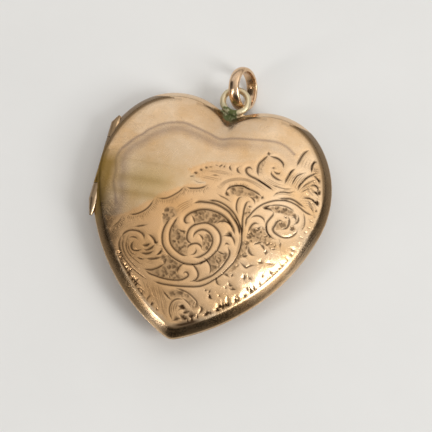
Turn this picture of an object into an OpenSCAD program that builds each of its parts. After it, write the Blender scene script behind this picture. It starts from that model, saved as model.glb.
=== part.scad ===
// Heart locket, lying on its back: two hinged gold shells, an eye soldered in the cleft and a loose bail.
// The crown of the back rests at the origin, +Z is the engraved front and +Y runs from the tip to the bail.

/* [Heart outline] */
// Heading of the seam's outline as it leaves the cleft, in degrees up from sideways
cleft_heading = 45; // [42:1:48]
// Radius of the outline over each lobe
lobe_r = 6.75; // [6.6:0.05:6.9]
// How far the lobe's arc turns, in degrees
lobe_turn = 95.5; // [94:0.5:97]
// Radius of the outline at each shoulder
shoulder_r = 11; // [10.5:0.5:11.5]
// How far the shoulder's arc turns, in degrees
shoulder_turn = 53.5; // [52:0.5:55]
// Radius of each flank, down to the tip
flank_r = 22; // [21:0.5:24]
// Distance from the crown of the faces up to the cleft of the seam
cleft_y = 10.5; // [10:0.1:11]

/* [Shells] */
// Height of the plain side band, from the seam to the edge of the face
band_h = 1.05; // [0.9:0.05:1.2]
// How far the band flares out from the edge of the face to the seam
band_flare = 0.8; // [0.6:0.05:0.9]
// Height of the upright land beside the seam
land_h = 0.15; // [0.1:0.05:0.2]
// Rise of each face from its edge to its crown
dome_rise = 1.75; // [1.6:0.05:2]
// Power of the fall from crown to edge: higher is flatter in the middle
dome_power = 3; // [2.5:0.1:3.5]
// Radius that the face's contours round off to, towards the crown
crown_r = 10.3; // [9.8:0.1:10.5]
// How much longer that radius is towards the tip than the cleft, each way from the middle
crown_egg = 0.08; // [0.04:0.01:0.1]
// Depth of the flat worn on the crown of the back
rest_flat = 0.06; // [0.04:0.01:0.1]
// Thickness of the face sheet
wall = 0.45; // [0.35:0.05:0.5]
// Thickness of the side band, measured across the seam
seam_wall = 0.5; // [0.4:0.05:0.6]
// Gap between the two halves when shut
seam_gap = 0.05; // [0.03:0.01:0.08]

/* [Hinge] */
// Distance of the hinge pin from the heart's centre line
hinge_x = 11.4; // [11.3:0.05:11.5]
// Outer radius of the hinge knuckles
barrel_r = 0.65; // [0.6:0.05:0.7]
// Radius of the bore through the knuckles
bore_r = 0.31; // [0.28:0.01:0.34]
// Radius of the hinge pin
pin_r = 0.28; // [0.24:0.01:0.3]
// How far the pin's bore stops short of each end of the barrel
bore_short = 0.5; // [0.4:0.1:0.6]
// Upper end of the straight part of the barrel
barrel_top = 7.4; // [7:0.1:7.6]
// Length of the straight part of the barrel
barrel_len = 8.9; // [8.5:0.1:9.2]
// Number of knuckles: the odd ones belong to the back
knuckles = 5; // [5:2:5]
// Gap between two knuckles
knuckle_gap = 0.06; // [0.04:0.01:0.1]
// Clearance round the other half's knuckles
knuckle_clear = 0.08; // [0.06:0.01:0.1]
// Length of the filed taper at the upper end
taper_top = 0.9; // [0.7:0.1:1]
// Length of the filed taper at the lower end
taper_bottom = 1.7; // [1.4:0.1:1.8]
// Radius left at the end of each taper
taper_r = 0.15; // [0.1:0.05:0.2]
// Half height of the notch that the barrel lies in
notch_h = 0.82; // [0.8:0.01:0.86]
// Thickness of the bed behind the hinge pin, in from its axis
bed_in = 1.1; // [1.05:0.05:1.2]

/* [Closing rim] */
// Inset of the closing rim from the seam's outline
rim_inset = 1.1; // [1.05:0.05:1.2]
// Thickness of the closing rim
rim_wall = 0.35; // [0.3:0.05:0.4]
// Gap between each end of the rim and the bed of the hinge
rim_end_gap = 0.15; // [0.1:0.05:0.2]
// How far the rim stands up into the cover
rim_up = 0.6; // [0.4:0.05:0.6]
// How far the rim reaches down into the back
rim_down = 0.62; // [0.5:0.02:0.62]

/* [Eye] */
// Distance of the eye's centre above the cleft
eye_out = 2.42; // [2.4:0.01:2.5]
// Radius of the eye, to the middle of its wire
eye_r = 1.32; // [1.3:0.01:1.35]
// Radius of the eye's wire
eye_wire_r = 0.33; // [0.3:0.01:0.35]
// How far the solder reaches below the seam
solder_down = 0.45; // [0.35:0.05:0.5]
// How far the top of the solder lies below the seam
solder_top = 0.09; // [0.07:0.01:0.12]
// Half width of the solder across the cleft
solder_half_w = 1.9; // [1.7:0.1:2]

/* [Bail] */
// Outer radius of the bail
bail_r = 2.46; // [2.42:0.01:2.48]
// Width of the bail's band
bail_w = 0.96; // [0.9:0.01:0.98]
// Thickness of the bail's band
bail_t = 0.62; // [0.58:0.01:0.64]
// Thickness left at the edges of the D section
bail_edge_t = 0.22; // [0.2:0.01:0.3]
// Centre of the bail, measured from the middle of the eye
bail_at = [0.47, 1.57, -0.58];
// Turn of the bail about the upright, in degrees
bail_turn = -1; // [-2:0.5:0]
// Lean of the bail out of the upright, in degrees
bail_lean = 33; // [32:0.5:34]

/* [Hidden] */
$fn = 48;
lobe_steps = 14;
shoulder_steps = 10;
flank_steps = 12;
ring_n = 2 * (lobe_steps + shoulder_steps + flank_steps);
// How far out each contour of a face lies, from the edge towards the crown
outer_contours = [0.93, 0.84, 0.72, 0.58, 0.43, 0.325, 0.2];
inner_contours = [0.92, 0.8, 0.64, 0.45, 0.22];
seam_z = band_h + dome_rise - rest_flat;
crown_z = band_h + dome_rise;
// How much of the sheet's thickness the hollow keeps below the edge of the face
knee_share = 0.9;
// How far the solder's point runs into the wall of the cleft
solder_root = 0.4;
far = 20;
gold = [0.80, 0.60, 0.42];
pale_gold = [0.83, 0.76, 0.50];

// Headings and arc centres of the right half of the outline
lobe_end = cleft_heading - lobe_turn;
shoulder_end = lobe_end - shoulder_turn;
lobe_c = [0, cleft_y] + lobe_r * [sin(cleft_heading), -cos(cleft_heading)];
shoulder_c = lobe_c + (shoulder_r - lobe_r) * [sin(lobe_end), -cos(lobe_end)];
flank_c = shoulder_c + (flank_r - shoulder_r) * [sin(shoulder_end), -cos(shoulder_end)];

// Points of an arc that turns clockwise from heading a0 to heading a1, without its first point
function arc_points(c, r, a0, a1, n) =
    [for (i = [1:n]) let (a = a0 + (a1 - a0) * i / n) c + r * [-sin(a), cos(a)]];

// Right half of the heart outline, inset from the seam, from the cleft clockwise to the tip
function half_heart(inset) =
    let (start = asin(lobe_c.x / (lobe_r - inset)))
    let (finish = asin(-flank_c.x / (flank_r - inset)) - 180)
    concat(
        [lobe_c + (lobe_r - inset) * [-sin(start), cos(start)]],
        arc_points(lobe_c, lobe_r - inset, start, lobe_end, lobe_steps),
        arc_points(shoulder_c, shoulder_r - inset, lobe_end, shoulder_end, shoulder_steps),
        arc_points(flank_c, flank_r - inset, shoulder_end, finish, flank_steps)
    );

// Whole heart outline, clockwise from the cleft
function heart(inset) =
    let (half = half_heart(inset))
    concat(half, [for (i = [ring_n / 2 - 1:-1:1]) [-half[i].x, half[i].y]]);

// Where a point of the face's edge moves to on a contour nearer the crown: hearts outside, ovals inside
function contour_point(p, s) =
    let (heart_share = pow(s, 3))
    let (oval = crown_r * (1 - crown_egg * p.y / norm(p)) * p / norm(p))
    s * ((1 - heart_share) * oval + heart_share * p);

// Height of the face above the seam on a contour
function dome_z(s) = band_h + dome_rise * (1 - pow(s, dome_power));

// A ring of points at one height
function level(points, z) = [for (p = points) [p.x, p.y, z]];

// Rings of a face's contours, dropped by the sheet's thickness for the inside
function dome_rings(contours, edge, drop, top) =
    [for (s = contours) level([for (p = edge) contour_point(p, s)], min(dome_z(s), top) - drop)];

// Solid skinned over rings that climb from a flat base to a single top point
module skin(rings, top_z) {
    points = concat([for (ring = rings) for (p = ring) p], [[0, 0, top_z]]);
    last = len(rings) - 1;
    apex = len(points) - 1;
    sides = [for (k = [0:last - 1]) for (i = [0:ring_n - 1]) let (j = (i + 1) % ring_n)
        for (f = [
            [k * ring_n + i, k * ring_n + j, (k + 1) * ring_n + i],
            [k * ring_n + j, (k + 1) * ring_n + j, (k + 1) * ring_n + i]
        ]) f];
    cap = [for (i = [0:ring_n - 1]) [last * ring_n + i, last * ring_n + (i + 1) % ring_n, apex]];
    base = [[for (i = [ring_n - 1:-1:0]) i]];
    polyhedron(points, concat(base, sides, cap));
}

// Outside of one half, from the seam at z = 0 up to its crown
module half_outside(top) {
    edge = heart(band_flare);
    skin(concat(
        [level(heart(0), seam_gap / 2), level(heart(0), land_h), level(edge, band_h)],
        dome_rings(outer_contours, edge, 0, top)
    ), top);
}

// Hollow of one half, running out below the seam and stopping at the bed of the hinge
module half_inside() {
    edge = heart(band_flare);
    knee_z = band_h - wall * knee_share;
    knee_inset = seam_wall + band_flare * (knee_z - land_h) / (band_h - land_h);
    difference() {
        skin(concat(
            [level(heart(seam_wall), -land_h), level(heart(seam_wall), land_h)],
            [level(heart(knee_inset), knee_z)],
            dome_rings(inner_contours, edge, wall, crown_z)
        ), crown_z - wall);
        translate([-far, -far, -far]) cube([far - hinge_x + bed_in, 2 * far, 2 * far]);
    }
}

// One half of the case, notched at the side for the barrel of the hinge
module half_shell(top) {
    difference() {
        half_outside(top);
        half_inside();
        translate([-far, -far, -notch_h]) cube([far - hinge_x, 2 * far, 2 * notch_h]);
    }
}

// A rod along the hinge's axis between two heights on Y
module hinge_rod(r, y0, y1, r1) {
    translate([-hinge_x, y0, 0]) rotate([-90, 0, 0]) cylinder(h = y1 - y0, r1 = r, r2 = r1);
}

// Lower end of a knuckle, counted from the upper end of the barrel
pitch = barrel_len / knuckles;
function knuckle_low(i) = barrel_top - (i + 1) * pitch + knuckle_gap / 2;
function knuckle_high(i) = barrel_top - i * pitch - knuckle_gap / 2;

// Knuckles of one half, grown by a clearance when they are cut out of the other half
module knuckle_set(first, grow) {
    r = barrel_r + grow;
    for (i = [first:2:knuckles - 1]) {
        low = knuckle_low(i) - (grow > 0 ? knuckle_gap : 0);
        high = knuckle_high(i) + (grow > 0 ? knuckle_gap : 0);
        hinge_rod(r, low, high, r);
        if (i == 0) hinge_rod(r, high, barrel_top + taper_top + grow, taper_r + grow);
        if (i == knuckles - 1) hinge_rod(taper_r + grow, low - taper_bottom - grow, low, r);
    }
}

// Bore for the hinge pin through the straight part of the barrel
module pin_bore() {
    hinge_rod(bore_r, barrel_top - barrel_len + bore_short, barrel_top - bore_short, bore_r);
}

// The eye's ring, lying in the plane of the locket
module eye_ring() {
    translate([0, cleft_y + eye_out, 0]) rotate_extrude() translate([eye_r, 0]) circle(r = eye_wire_r);
}

// Solder that fills the cleft under the eye, low enough to stay clear of the cover
module solder() {
    side_y = solder_half_w - solder_root;
    translate([0, 0, -solder_down]) linear_extrude(solder_down - solder_top) difference() {
        translate([0, cleft_y])
            polygon([[0, -solder_root], [solder_half_w, side_y], [-solder_half_w, side_y]]);
        translate([0, cleft_y + eye_out]) circle(r = eye_r - eye_wire_r / 2);
    }
}

// Back half with its hinge knuckles, the eye and the solder, all one piece of metal
module back_shell() {
    color(gold) translate([0, 0, seam_z]) difference() {
        union() {
            difference() {
                mirror([0, 0, 1]) half_shell(seam_z);
                knuckle_set(1, knuckle_clear);
            }
            knuckle_set(0, 0);
            eye_ring();
            solder();
        }
        pin_bore();
    }
}

// Engraved front half with the two knuckles between those of the back
module front_cover() {
    color(gold) translate([0, 0, seam_z]) difference() {
        union() {
            difference() {
                half_shell(crown_z);
                knuckle_set(0, knuckle_clear);
            }
            knuckle_set(1, 0);
        }
        pin_bore();
    }
}

// Plain strip pressed into the back, open at the hinge, that the cover closes over
module closing_rim() {
    color(pale_gold) intersection() {
        translate([0, 0, seam_z - rim_down]) linear_extrude(rim_down + rim_up) difference() {
            polygon(heart(rim_inset));
            polygon(heart(rim_inset + rim_wall));
        }
        translate([-hinge_x + bed_in + rim_end_gap, -far, 0]) cube([2 * far, 2 * far, far]);
    }
}

// Pin that carries the hinge
module hinge_pin() {
    short = bore_short + knuckle_gap;
    color(pale_gold) translate([0, 0, seam_z])
        hinge_rod(pin_r, barrel_top - barrel_len + short, barrel_top - short, pin_r);
}

// D section of the bail's band: flat inside, rounded outside
function bail_section() = concat(
    [[bail_r - bail_t, -bail_w / 2]],
    [for (i = [0:8]) let (a = -90 + 22.5 * i)
        [bail_r - bail_t + bail_edge_t + (bail_t - bail_edge_t) * cos(a), bail_w / 2 * sin(a)]],
    [[bail_r - bail_t, bail_w / 2]]
);

// Loose bail through the eye
module bail() {
    color(gold) translate([0, cleft_y + eye_out, seam_z] + bail_at)
        rotate([0, 0, bail_turn]) rotate([0, 90 - bail_lean, 0]) rotate_extrude() polygon(bail_section());
}

back_shell();
front_cover();
closing_rim();
hinge_pin();
bail();
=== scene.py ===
import math

import bmesh
import bpy
import numpy as np
from mathutils import Matrix, Vector
from mathutils.geometry import delaunay_2d_cdt


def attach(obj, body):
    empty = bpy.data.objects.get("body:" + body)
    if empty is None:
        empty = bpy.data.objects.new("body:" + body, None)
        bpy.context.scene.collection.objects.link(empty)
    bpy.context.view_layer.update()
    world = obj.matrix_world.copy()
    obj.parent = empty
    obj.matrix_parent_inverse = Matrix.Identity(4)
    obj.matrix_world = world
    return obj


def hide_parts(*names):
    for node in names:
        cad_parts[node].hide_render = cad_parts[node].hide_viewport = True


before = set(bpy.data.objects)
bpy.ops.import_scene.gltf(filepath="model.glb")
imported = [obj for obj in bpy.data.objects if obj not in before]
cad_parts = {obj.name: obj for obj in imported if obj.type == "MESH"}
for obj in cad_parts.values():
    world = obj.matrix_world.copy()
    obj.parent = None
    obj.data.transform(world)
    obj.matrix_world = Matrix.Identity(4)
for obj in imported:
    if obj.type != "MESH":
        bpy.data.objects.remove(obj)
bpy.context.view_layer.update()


# The back half of the case is a shallow heart-shaped dish, raised from rose gold sheet half a millimetre
# thick. Its side is bent up to a narrow land where the cover shuts, and is notched at the left for the hinge.
# Three knuckles, the round eye and the solder that holds it in the cleft are one piece of metal with it.
MM = 0.001
SEAM_Z = 2.74  # height of the seam over the table
CLEFT_Y = 10.5
LOBE_R, SHOULDER_R, FLANK_R = 6.75, 11.0, 22.0  # each side of the heart is three arcs, from cleft to tip
CLEFT_HEADING, LOBE_TURN, SHOULDER_TURN = 45.0, 95.5, 53.5
LOBE_STEPS, SHOULDER_STEPS, FLANK_STEPS, CORNER_WEAR = 66, 60, 114, 16
LAND_H, LAND_SOFT, LAND_IN = 0.15, 0.03, 0.02
BAND_H, BAND_FLARE, BAND_BULGE = 1.05, 0.8, 0.05
DOME_RISE, CROWN_R, CROWN_EGG = 1.75, 10.3, 0.08
LIP, REST_FLAT = 0.985, 0.06  # where the face begins, and how much of the crown is worn off from lying on it
CROWN_Z = BAND_H + DOME_RISE
WALL, SEAM_WALL, SEAM_GAP = 0.45, 0.5, 0.05
KNEE_Z = BAND_H - 0.9 * WALL
BAND_STEPS, ARRIS_STEPS = (0.12, 0.25, 0.38, 0.5, 0.62, 0.75, 0.84, 0.9), (0.3, 0.5, 0.7, 1.0)
DOME_STEPS, HOLLOW_STEPS = np.linspace(0.96, 0.06, 34), np.linspace(0.92, 0.08, 16)
FAR, BELOW, ABOVE = 20, -1, 5  # ends of the blocks that cut, outside the case
HAIR, DOUBLED = 1e-4, 1e-5


def heading(a):
    return np.array([math.sin(math.radians(a)), -math.cos(math.radians(a))])


LOBE_END = CLEFT_HEADING - LOBE_TURN
SHOULDER_END = LOBE_END - SHOULDER_TURN
LOBE_C = np.array([0, CLEFT_Y]) + LOBE_R * heading(CLEFT_HEADING)
SHOULDER_C = LOBE_C + (SHOULDER_R - LOBE_R) * heading(LOBE_END)
FLANK_C = SHOULDER_C + (FLANK_R - SHOULDER_R) * heading(SHOULDER_END)


def heart_line(inset):
    """Outline of the heart, inset from the seam, clockwise from the cleft, its two corners a little worn."""
    start = math.degrees(math.asin(LOBE_C[0] / (LOBE_R - inset)))
    finish = math.degrees(math.asin(-FLANK_C[0] / (FLANK_R - inset))) - 180
    half = [LOBE_C - (LOBE_R - inset) * heading(start)]
    for centre, radius, first, last, steps in (
            (LOBE_C, LOBE_R, start, LOBE_END, LOBE_STEPS),
            (SHOULDER_C, SHOULDER_R, LOBE_END, SHOULDER_END, SHOULDER_STEPS),
            (FLANK_C, FLANK_R, SHOULDER_END, finish, FLANK_STEPS)):
        for a in np.linspace(first, last, steps + 1)[1:]:
            half.append(centre - (radius - inset) * heading(a))
    half = np.array(half)
    half[[0, -1], 0] = 0
    line = np.vstack([half, (half * [-1, 1])[-2:0:-1]])
    for _ in range(CORNER_WEAR):
        line = 0.25 * np.roll(line, 1, 0) + 0.5 * line + 0.25 * np.roll(line, -1, 0)
    return line


def face_contour(edge, share):
    """The line that the edge of a face moves to, nearer its crown: hearts outside, ovals inside."""
    length = np.linalg.norm(edge, axis=1, keepdims=True)
    oval = CROWN_R * (1 - CROWN_EGG * edge[:, 1:] / length) * edge / length
    return share * ((1 - share ** 3) * oval + share ** 3 * edge)


def face_height(share):
    return BAND_H + DOME_RISE * (1 - share ** 3)


def at_level(line, z):
    return np.column_stack([line, np.full(len(line), z)])


def in_scene(mesh):
    """Merges doubled points, turns every face outwards and puts the mesh in the scene."""
    b = bmesh.new()
    b.from_mesh(mesh)
    bmesh.ops.remove_doubles(b, verts=b.verts, dist=DOUBLED)
    bmesh.ops.recalc_face_normals(b, faces=b.faces)
    b.to_mesh(mesh)
    b.free()
    obj = bpy.data.objects.new(mesh.name, mesh)
    bpy.context.scene.collection.objects.link(obj)
    return obj


def skinned(name, rings, top=None, closed_ring=False):
    """A closed mesh over rings of equally many points: flat, drawn up to one point, or joined round."""
    n, last = len(rings[0]), (len(rings) - 1) * len(rings[0])
    points = [tuple(p) for ring in rings for p in ring]
    around = [(i, (i + 1) % n) for i in range(n)]
    pairs = [(k * n, (k + 1) * n) for k in range(len(rings) - 1)] + ([(last, 0)] if closed_ring else [])
    faces = [(low + i, low + j, high + j, high + i) for low, high in pairs for i, j in around]
    if not closed_ring:
        faces.insert(0, tuple(range(n - 1, -1, -1)))
        if top is None:
            faces.append(tuple(range(last, last + n)))
        else:
            points.append((0, 0, top))
            faces += [(last + i, last + j, len(points) - 1) for i, j in around]
    mesh = bpy.data.meshes.new(name)
    mesh.from_pydata(points, [], faces)
    return in_scene(mesh)


def finished(obj):
    """Turns what the modifiers make into the object's own plain mesh."""
    made = bpy.data.meshes.new_from_object(obj.evaluated_get(bpy.context.evaluated_depsgraph_get()))
    old = obj.data
    obj.modifiers.clear()
    obj.data = made
    bpy.data.meshes.remove(old)
    return obj


def fitted(work, how, tool):
    """Joins a tool to the work, cuts it away or keeps what both hold, and uses the tool up."""
    m = work.modifiers.new("fit", "BOOLEAN")
    m.operation, m.solver, m.object = how, "MANIFOLD", tool
    finished(work)
    bpy.data.meshes.remove(tool.data)
    return work


def block(x0, x1, y0, y1, z0, z1):
    square = np.array([[x0, y0], [x0, y1], [x1, y1], [x1, y0]], float)
    return skinned("block", [at_level(square, z0), at_level(square, z1)])


def full_turn(steps):
    return np.linspace(0, 2 * math.pi, steps, endpoint=False)


def turned(name, profile, axis_x, sides=72):
    """A rod turned about a line along Y at the seam: the profile is (distance along Y, radius) pairs."""
    a = full_turn(sides)
    rings = [np.column_stack([axis_x + r * np.cos(a), np.full(sides, y), r * np.sin(a)]) for y, r in profile]
    return skinned(name, rings)


def case_outside(name, crown):
    """Outside of one half, seam down: land, flared side, worn arris and a domed face up to its crown."""
    edge = heart_line(BAND_FLARE)
    rings = [at_level(heart_line(LAND_SOFT), SEAM_GAP / 2),
             at_level(heart_line(0), SEAM_GAP / 2 + LAND_SOFT),
             at_level(heart_line(0), LAND_H - LAND_SOFT),
             at_level(heart_line(LAND_IN), LAND_H + LAND_SOFT)]
    for t in BAND_STEPS:
        inset = BAND_FLARE * t - 4 * BAND_BULGE * t * (1 - t)
        rings.append(at_level(heart_line(inset), LAND_H + (BAND_H - LAND_H) * t))
    before, corner = rings[-1], at_level(edge, BAND_H)
    after = at_level(face_contour(edge, LIP), face_height(LIP))
    for t in ARRIS_STEPS:
        rings.append((1 - t) ** 2 * before + 2 * t * (1 - t) * corner + t ** 2 * after)
    for share in DOME_STEPS:
        rings.append(at_level(face_contour(edge, share), min(face_height(share), crown)))
    return skinned(name, rings, crown)


HINGE_X, BARREL_R, BORE_R, BED_IN, NOTCH_H = 11.4, 0.65, 0.31, 1.1, 0.82
BARREL_TOP, BARREL_LEN, KNUCKLES, KNUCKLE_GAP, KNUCKLE_CLEAR = 7.4, 8.9, 5, 0.06, 0.08
TAPER_TOP, TAPER_BOTTOM, TAPER_R, KNUCKLE_SOFT, BORE_SHORT = 0.9, 1.7, 0.15, 0.035, 0.5


def case_inside():
    """Hollow of one half, which stops at the bed of the hinge."""
    edge = heart_line(BAND_FLARE)
    knee = SEAM_WALL + BAND_FLARE * (KNEE_Z - LAND_H) / (BAND_H - LAND_H)
    rings = [at_level(heart_line(SEAM_WALL), -LAND_H),
             at_level(heart_line(SEAM_WALL), LAND_H),
             at_level(heart_line(knee), KNEE_Z)]
    for share in HOLLOW_STEPS:
        rings.append(at_level(face_contour(edge, share), face_height(share) - WALL))
    hollow = skinned("hollow", rings, CROWN_Z - WALL)
    return fitted(hollow, "INTERSECT", block(-HINGE_X + BED_IN, FAR, -FAR, FAR, BELOW, ABOVE))


def knuckle(i, grow=0.0):
    """One knuckle of the hinge. The end ones are filed to a taper, and a grown one is the room cut for it."""
    pitch = BARREL_LEN / KNUCKLES
    r, tip_r = BARREL_R + grow, TAPER_R + grow
    soft, gap = (0.0, -KNUCKLE_GAP) if grow else (KNUCKLE_SOFT, KNUCKLE_GAP)
    low, high = BARREL_TOP - (i + 1) * pitch + gap / 2, BARREL_TOP - i * pitch - gap / 2
    profile = [(low, r - soft), (low + soft + HAIR, r), (high - soft - HAIR, r), (high, r - soft)]
    if i == 0:
        profile[3:] = [(high, r), (BARREL_TOP + TAPER_TOP + grow, tip_r)]
    if i == KNUCKLES - 1:
        profile[:1] = [(low - TAPER_BOTTOM - grow, tip_r), (low, r)]
    return turned("knuckle", profile, -HINGE_X)


def half_case(outside, own, other):
    """One half of the case: hollowed, notched, given its own knuckles and room for the other half's."""
    half = fitted(outside, "DIFFERENCE", case_inside())
    half = fitted(half, "DIFFERENCE", block(-FAR, -HINGE_X, -FAR, FAR, -NOTCH_H, NOTCH_H))
    for i in other:
        half = fitted(half, "DIFFERENCE", knuckle(i, KNUCKLE_CLEAR))
    for i in own:
        half = fitted(half, "UNION", knuckle(i))
    bore = [(BARREL_TOP - BARREL_LEN + BORE_SHORT, BORE_R), (BARREL_TOP - BORE_SHORT, BORE_R)]
    return fitted(half, "DIFFERENCE", turned("bore", bore, -HINGE_X, 32))


EYE_Y, EYE_R, EYE_WIRE_R = 12.92, 1.32, 0.33
SOLDER_DOWN, SOLDER_TOP, SOLDER_HALF_W, SOLDER_ROOT, SOLDER_THIN = 0.45, 0.09, 1.6, 0.4, 0.03
SOLDER_REACH, MELT_GRAIN, MELT_FLOW, MELT_PASSES = 3, 0.05, 0.5, 24


def eye_loop(wire_r):
    """The ring of round wire that stands in the cleft."""
    across = full_turn(36)
    out, up = EYE_R + wire_r * np.cos(across), wire_r * np.sin(across)
    rings = [np.column_stack([out * math.cos(a), EYE_Y + out * math.sin(a), up]) for a in full_turn(96)]
    return skinned("eye", rings, closed_ring=True)


def solder_pool():
    """Solder run into the cleft under the eye, drawn up a little where it wets the ring, below the cover."""
    side_y = CLEFT_Y + SOLDER_HALF_W - SOLDER_ROOT
    wedge = np.array([[0, CLEFT_Y - SOLDER_ROOT], [-SOLDER_HALF_W, side_y], [SOLDER_HALF_W, side_y]])
    pool = skinned("solder", [at_level(wedge, SOLDER_TOP), at_level(wedge, SOLDER_DOWN)])
    a = full_turn(64)
    hole = np.column_stack([np.cos(a), np.sin(a)]) * (EYE_R - EYE_WIRE_R / 2) + [0, EYE_Y]
    fitted(pool, "DIFFERENCE", skinned("hole", [at_level(hole, -2), at_level(hole, 2)]))
    fitted(pool, "UNION", eye_loop(EYE_WIRE_R - SOLDER_THIN))
    melt = pool.modifiers.new("melt", "REMESH")
    melt.mode, melt.voxel_size = "VOXEL", MELT_GRAIN
    flow = pool.modifiers.new("flow", "SMOOTH")
    flow.factor, flow.iterations = MELT_FLOW, MELT_PASSES
    finished(pool)
    low, high = SOLDER_TOP - SOLDER_THIN, 2
    kept = block(-SOLDER_REACH, SOLDER_REACH, CLEFT_Y - 2, EYE_Y + SOLDER_REACH, low, high)
    return fitted(pool, "INTERSECT", kept)


def placed(obj, flip=False, sharp=32):
    """Brings a piece from where it is made, seam at nought in millimetres, to its place, in metres."""
    co = np.empty(len(obj.data.vertices) * 3)
    obj.data.vertices.foreach_get("co", co)
    co = co.reshape(-1, 3)
    if flip:
        co[:, 2] *= -1
    co[:, 2] += SEAM_Z
    obj.data.vertices.foreach_set("co", (co * MM).ravel())
    b = bmesh.new()
    b.from_mesh(obj.data)
    bmesh.ops.recalc_face_normals(b, faces=b.faces)
    many_sided = [f for f in b.faces if len(f.verts) > 4]
    bmesh.ops.triangulate(b, faces=many_sided, ngon_method="BEAUTY")
    b.to_mesh(obj.data)
    b.free()
    obj.data.shade_smooth()
    obj.data.set_sharp_from_angle(angle=math.radians(sharp))
    return co


def mark(obj, name, values):
    """Keeps a value for every point of a piece, for its material to read."""
    kept = obj.data.attributes.new(name, "FLOAT", "POINT")
    kept.data.foreach_set("value", np.asarray(values, np.float32))


def rising(value, start, over):
    return np.clip((value - start) / over, 0, 1)


def falling(value, end, over):
    return np.clip((end - value) / over, 0, 1)


def patch(at, x, y, wide, tall):
    """A soft patch, full at its middle and nearly gone two half widths away."""
    return np.exp(-((at[:, 0] - x) / wide) ** 2 - ((at[:, 1] - y) / tall) ** 2)


def node(tree, kind, **settings):
    made = tree.nodes.new(kind)
    for key, value in settings.items():
        setattr(made, key, value)
    return made


def feed(tree, socket, value):
    """Joins a node's output to a socket, or sets the socket's own value."""
    if isinstance(value, bpy.types.NodeSocket):
        tree.links.new(value, socket)
    elif isinstance(value, tuple) and len(socket.default_value) == 4:
        socket.default_value = (*value, 1)
    else:
        socket.default_value = value


MIX_SHARE, MIX_A, MIX_B, MIXED = 0, 6, 7, 2  # the sockets of a Mix node that mixes colours


def mixed(tree, share, a, b):
    n = node(tree, "ShaderNodeMix", data_type="RGBA")
    for index, value in ((MIX_SHARE, share), (MIX_A, a), (MIX_B, b)):
        feed(tree, n.inputs[index], value)
    return n.outputs[MIXED]


def maths(tree, how, a, b, clamp=False):
    n = node(tree, "ShaderNodeMath", operation=how, use_clamp=clamp)
    feed(tree, n.inputs[0], a)
    feed(tree, n.inputs[1], b)
    return n.outputs[0]


def spread(tree, value, low, high):
    """Runs smoothly from nought to one while a value goes from low to high."""
    n = node(tree, "ShaderNodeMapRange", interpolation_type="SMOOTHSTEP")
    for index, v in enumerate((value, low, high)):
        feed(tree, n.inputs[index], v)
    return n.outputs[0]


def effect(name, output, **inputs):
    """An empty group of shader nodes with named inputs and one output, and where they are read."""
    tree = bpy.data.node_groups.new(name, "ShaderNodeTree")
    for label, value in inputs.items():
        name = label.replace("_", " ")
        tree.interface.new_socket(name, in_out="INPUT", socket_type="NodeSocketFloat").default_value = value
    tree.interface.new_socket(output, in_out="OUTPUT", socket_type="NodeSocketFloat")
    given, place = node(tree, "NodeGroupInput").outputs, node(tree, "ShaderNodeTexCoord").outputs["Object"]
    return tree, given, place, node(tree, "NodeGroupOutput").inputs[0]


SCRATCH_SETS = ((0.35, 40), (-0.9, 28), (1.4, 34))  # which way a set of scratches runs, and how long they are
SCRATCH_TILT, SCRATCH_FLAT = (0.1, 0.15), 0.5
SCRATCH_FROM, SCRATCH_FULL = 0.6, 0.74

wear, given, place, out = effect("fine_scratches", "Scratches", Lines_per_metre=9000.0, Share=0.4)
lines = 0.0
for turn, stretch in SCRATCH_SETS:
    turn_it = node(wear, "ShaderNodeMapping")
    turn_it.inputs["Rotation"].default_value = (*SCRATCH_TILT, turn)
    squeeze = node(wear, "ShaderNodeVectorMath", operation="MULTIPLY")
    squeeze.inputs[1].default_value = (1, 1 / stretch, SCRATCH_FLAT)
    size = node(wear, "ShaderNodeVectorMath", operation="SCALE")
    speck = node(wear, "ShaderNodeTexNoise")
    speck.inputs["Scale"].default_value, speck.inputs["Detail"].default_value = 1, 1
    feed(wear, turn_it.inputs["Vector"], place)
    feed(wear, squeeze.inputs[0], turn_it.outputs[0])
    feed(wear, size.inputs[0], squeeze.outputs[0])
    feed(wear, size.inputs["Scale"], given["Lines per metre"])
    feed(wear, speck.inputs["Vector"], size.outputs[0])
    lines = maths(wear, "MAXIMUM", lines, spread(wear, speck.outputs["Fac"], SCRATCH_FROM, SCRATCH_FULL))
feed(wear, out, maths(wear, "MULTIPLY", lines, given["Share"]))

haze, given, place, out = effect("soft_clouds", "Clouds", Clouds_per_metre=400.0, Softness=0.18, Seed=0.0)
cloud = node(haze, "ShaderNodeTexNoise", noise_dimensions="4D")
cloud.inputs["Detail"].default_value, cloud.inputs["Roughness"].default_value = 5, 0.62
feed(haze, cloud.inputs["Vector"], place)
feed(haze, cloud.inputs["Scale"], given["Clouds per metre"])
feed(haze, cloud.inputs["W"], given["Seed"])
low, high = (maths(haze, how, 0.5, given["Softness"]) for how in ("SUBTRACT", "ADD"))
feed(haze, out, spread(haze, cloud.outputs["Fac"], low, high))

sheet_grain, given, place, out = effect("sheet_grain", "Grain", Grains_per_metre=5200.0, Height=0.12)
speck = node(sheet_grain, "ShaderNodeTexNoise")
speck.inputs["Detail"].default_value = 3
feed(sheet_grain, speck.inputs["Vector"], place)
feed(sheet_grain, speck.inputs["Scale"], given["Grains per metre"])
feed(sheet_grain, out, maths(sheet_grain, "MULTIPLY", speck.outputs["Fac"], given["Height"]))


def worn(tree, group, **values):
    """Places an effect in a material with the material's own values."""
    n = node(tree, "ShaderNodeGroup", node_tree=group)
    for label, value in values.items():
        n.inputs[label.replace("_", " ")].default_value = value
    return n.outputs[0]


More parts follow.
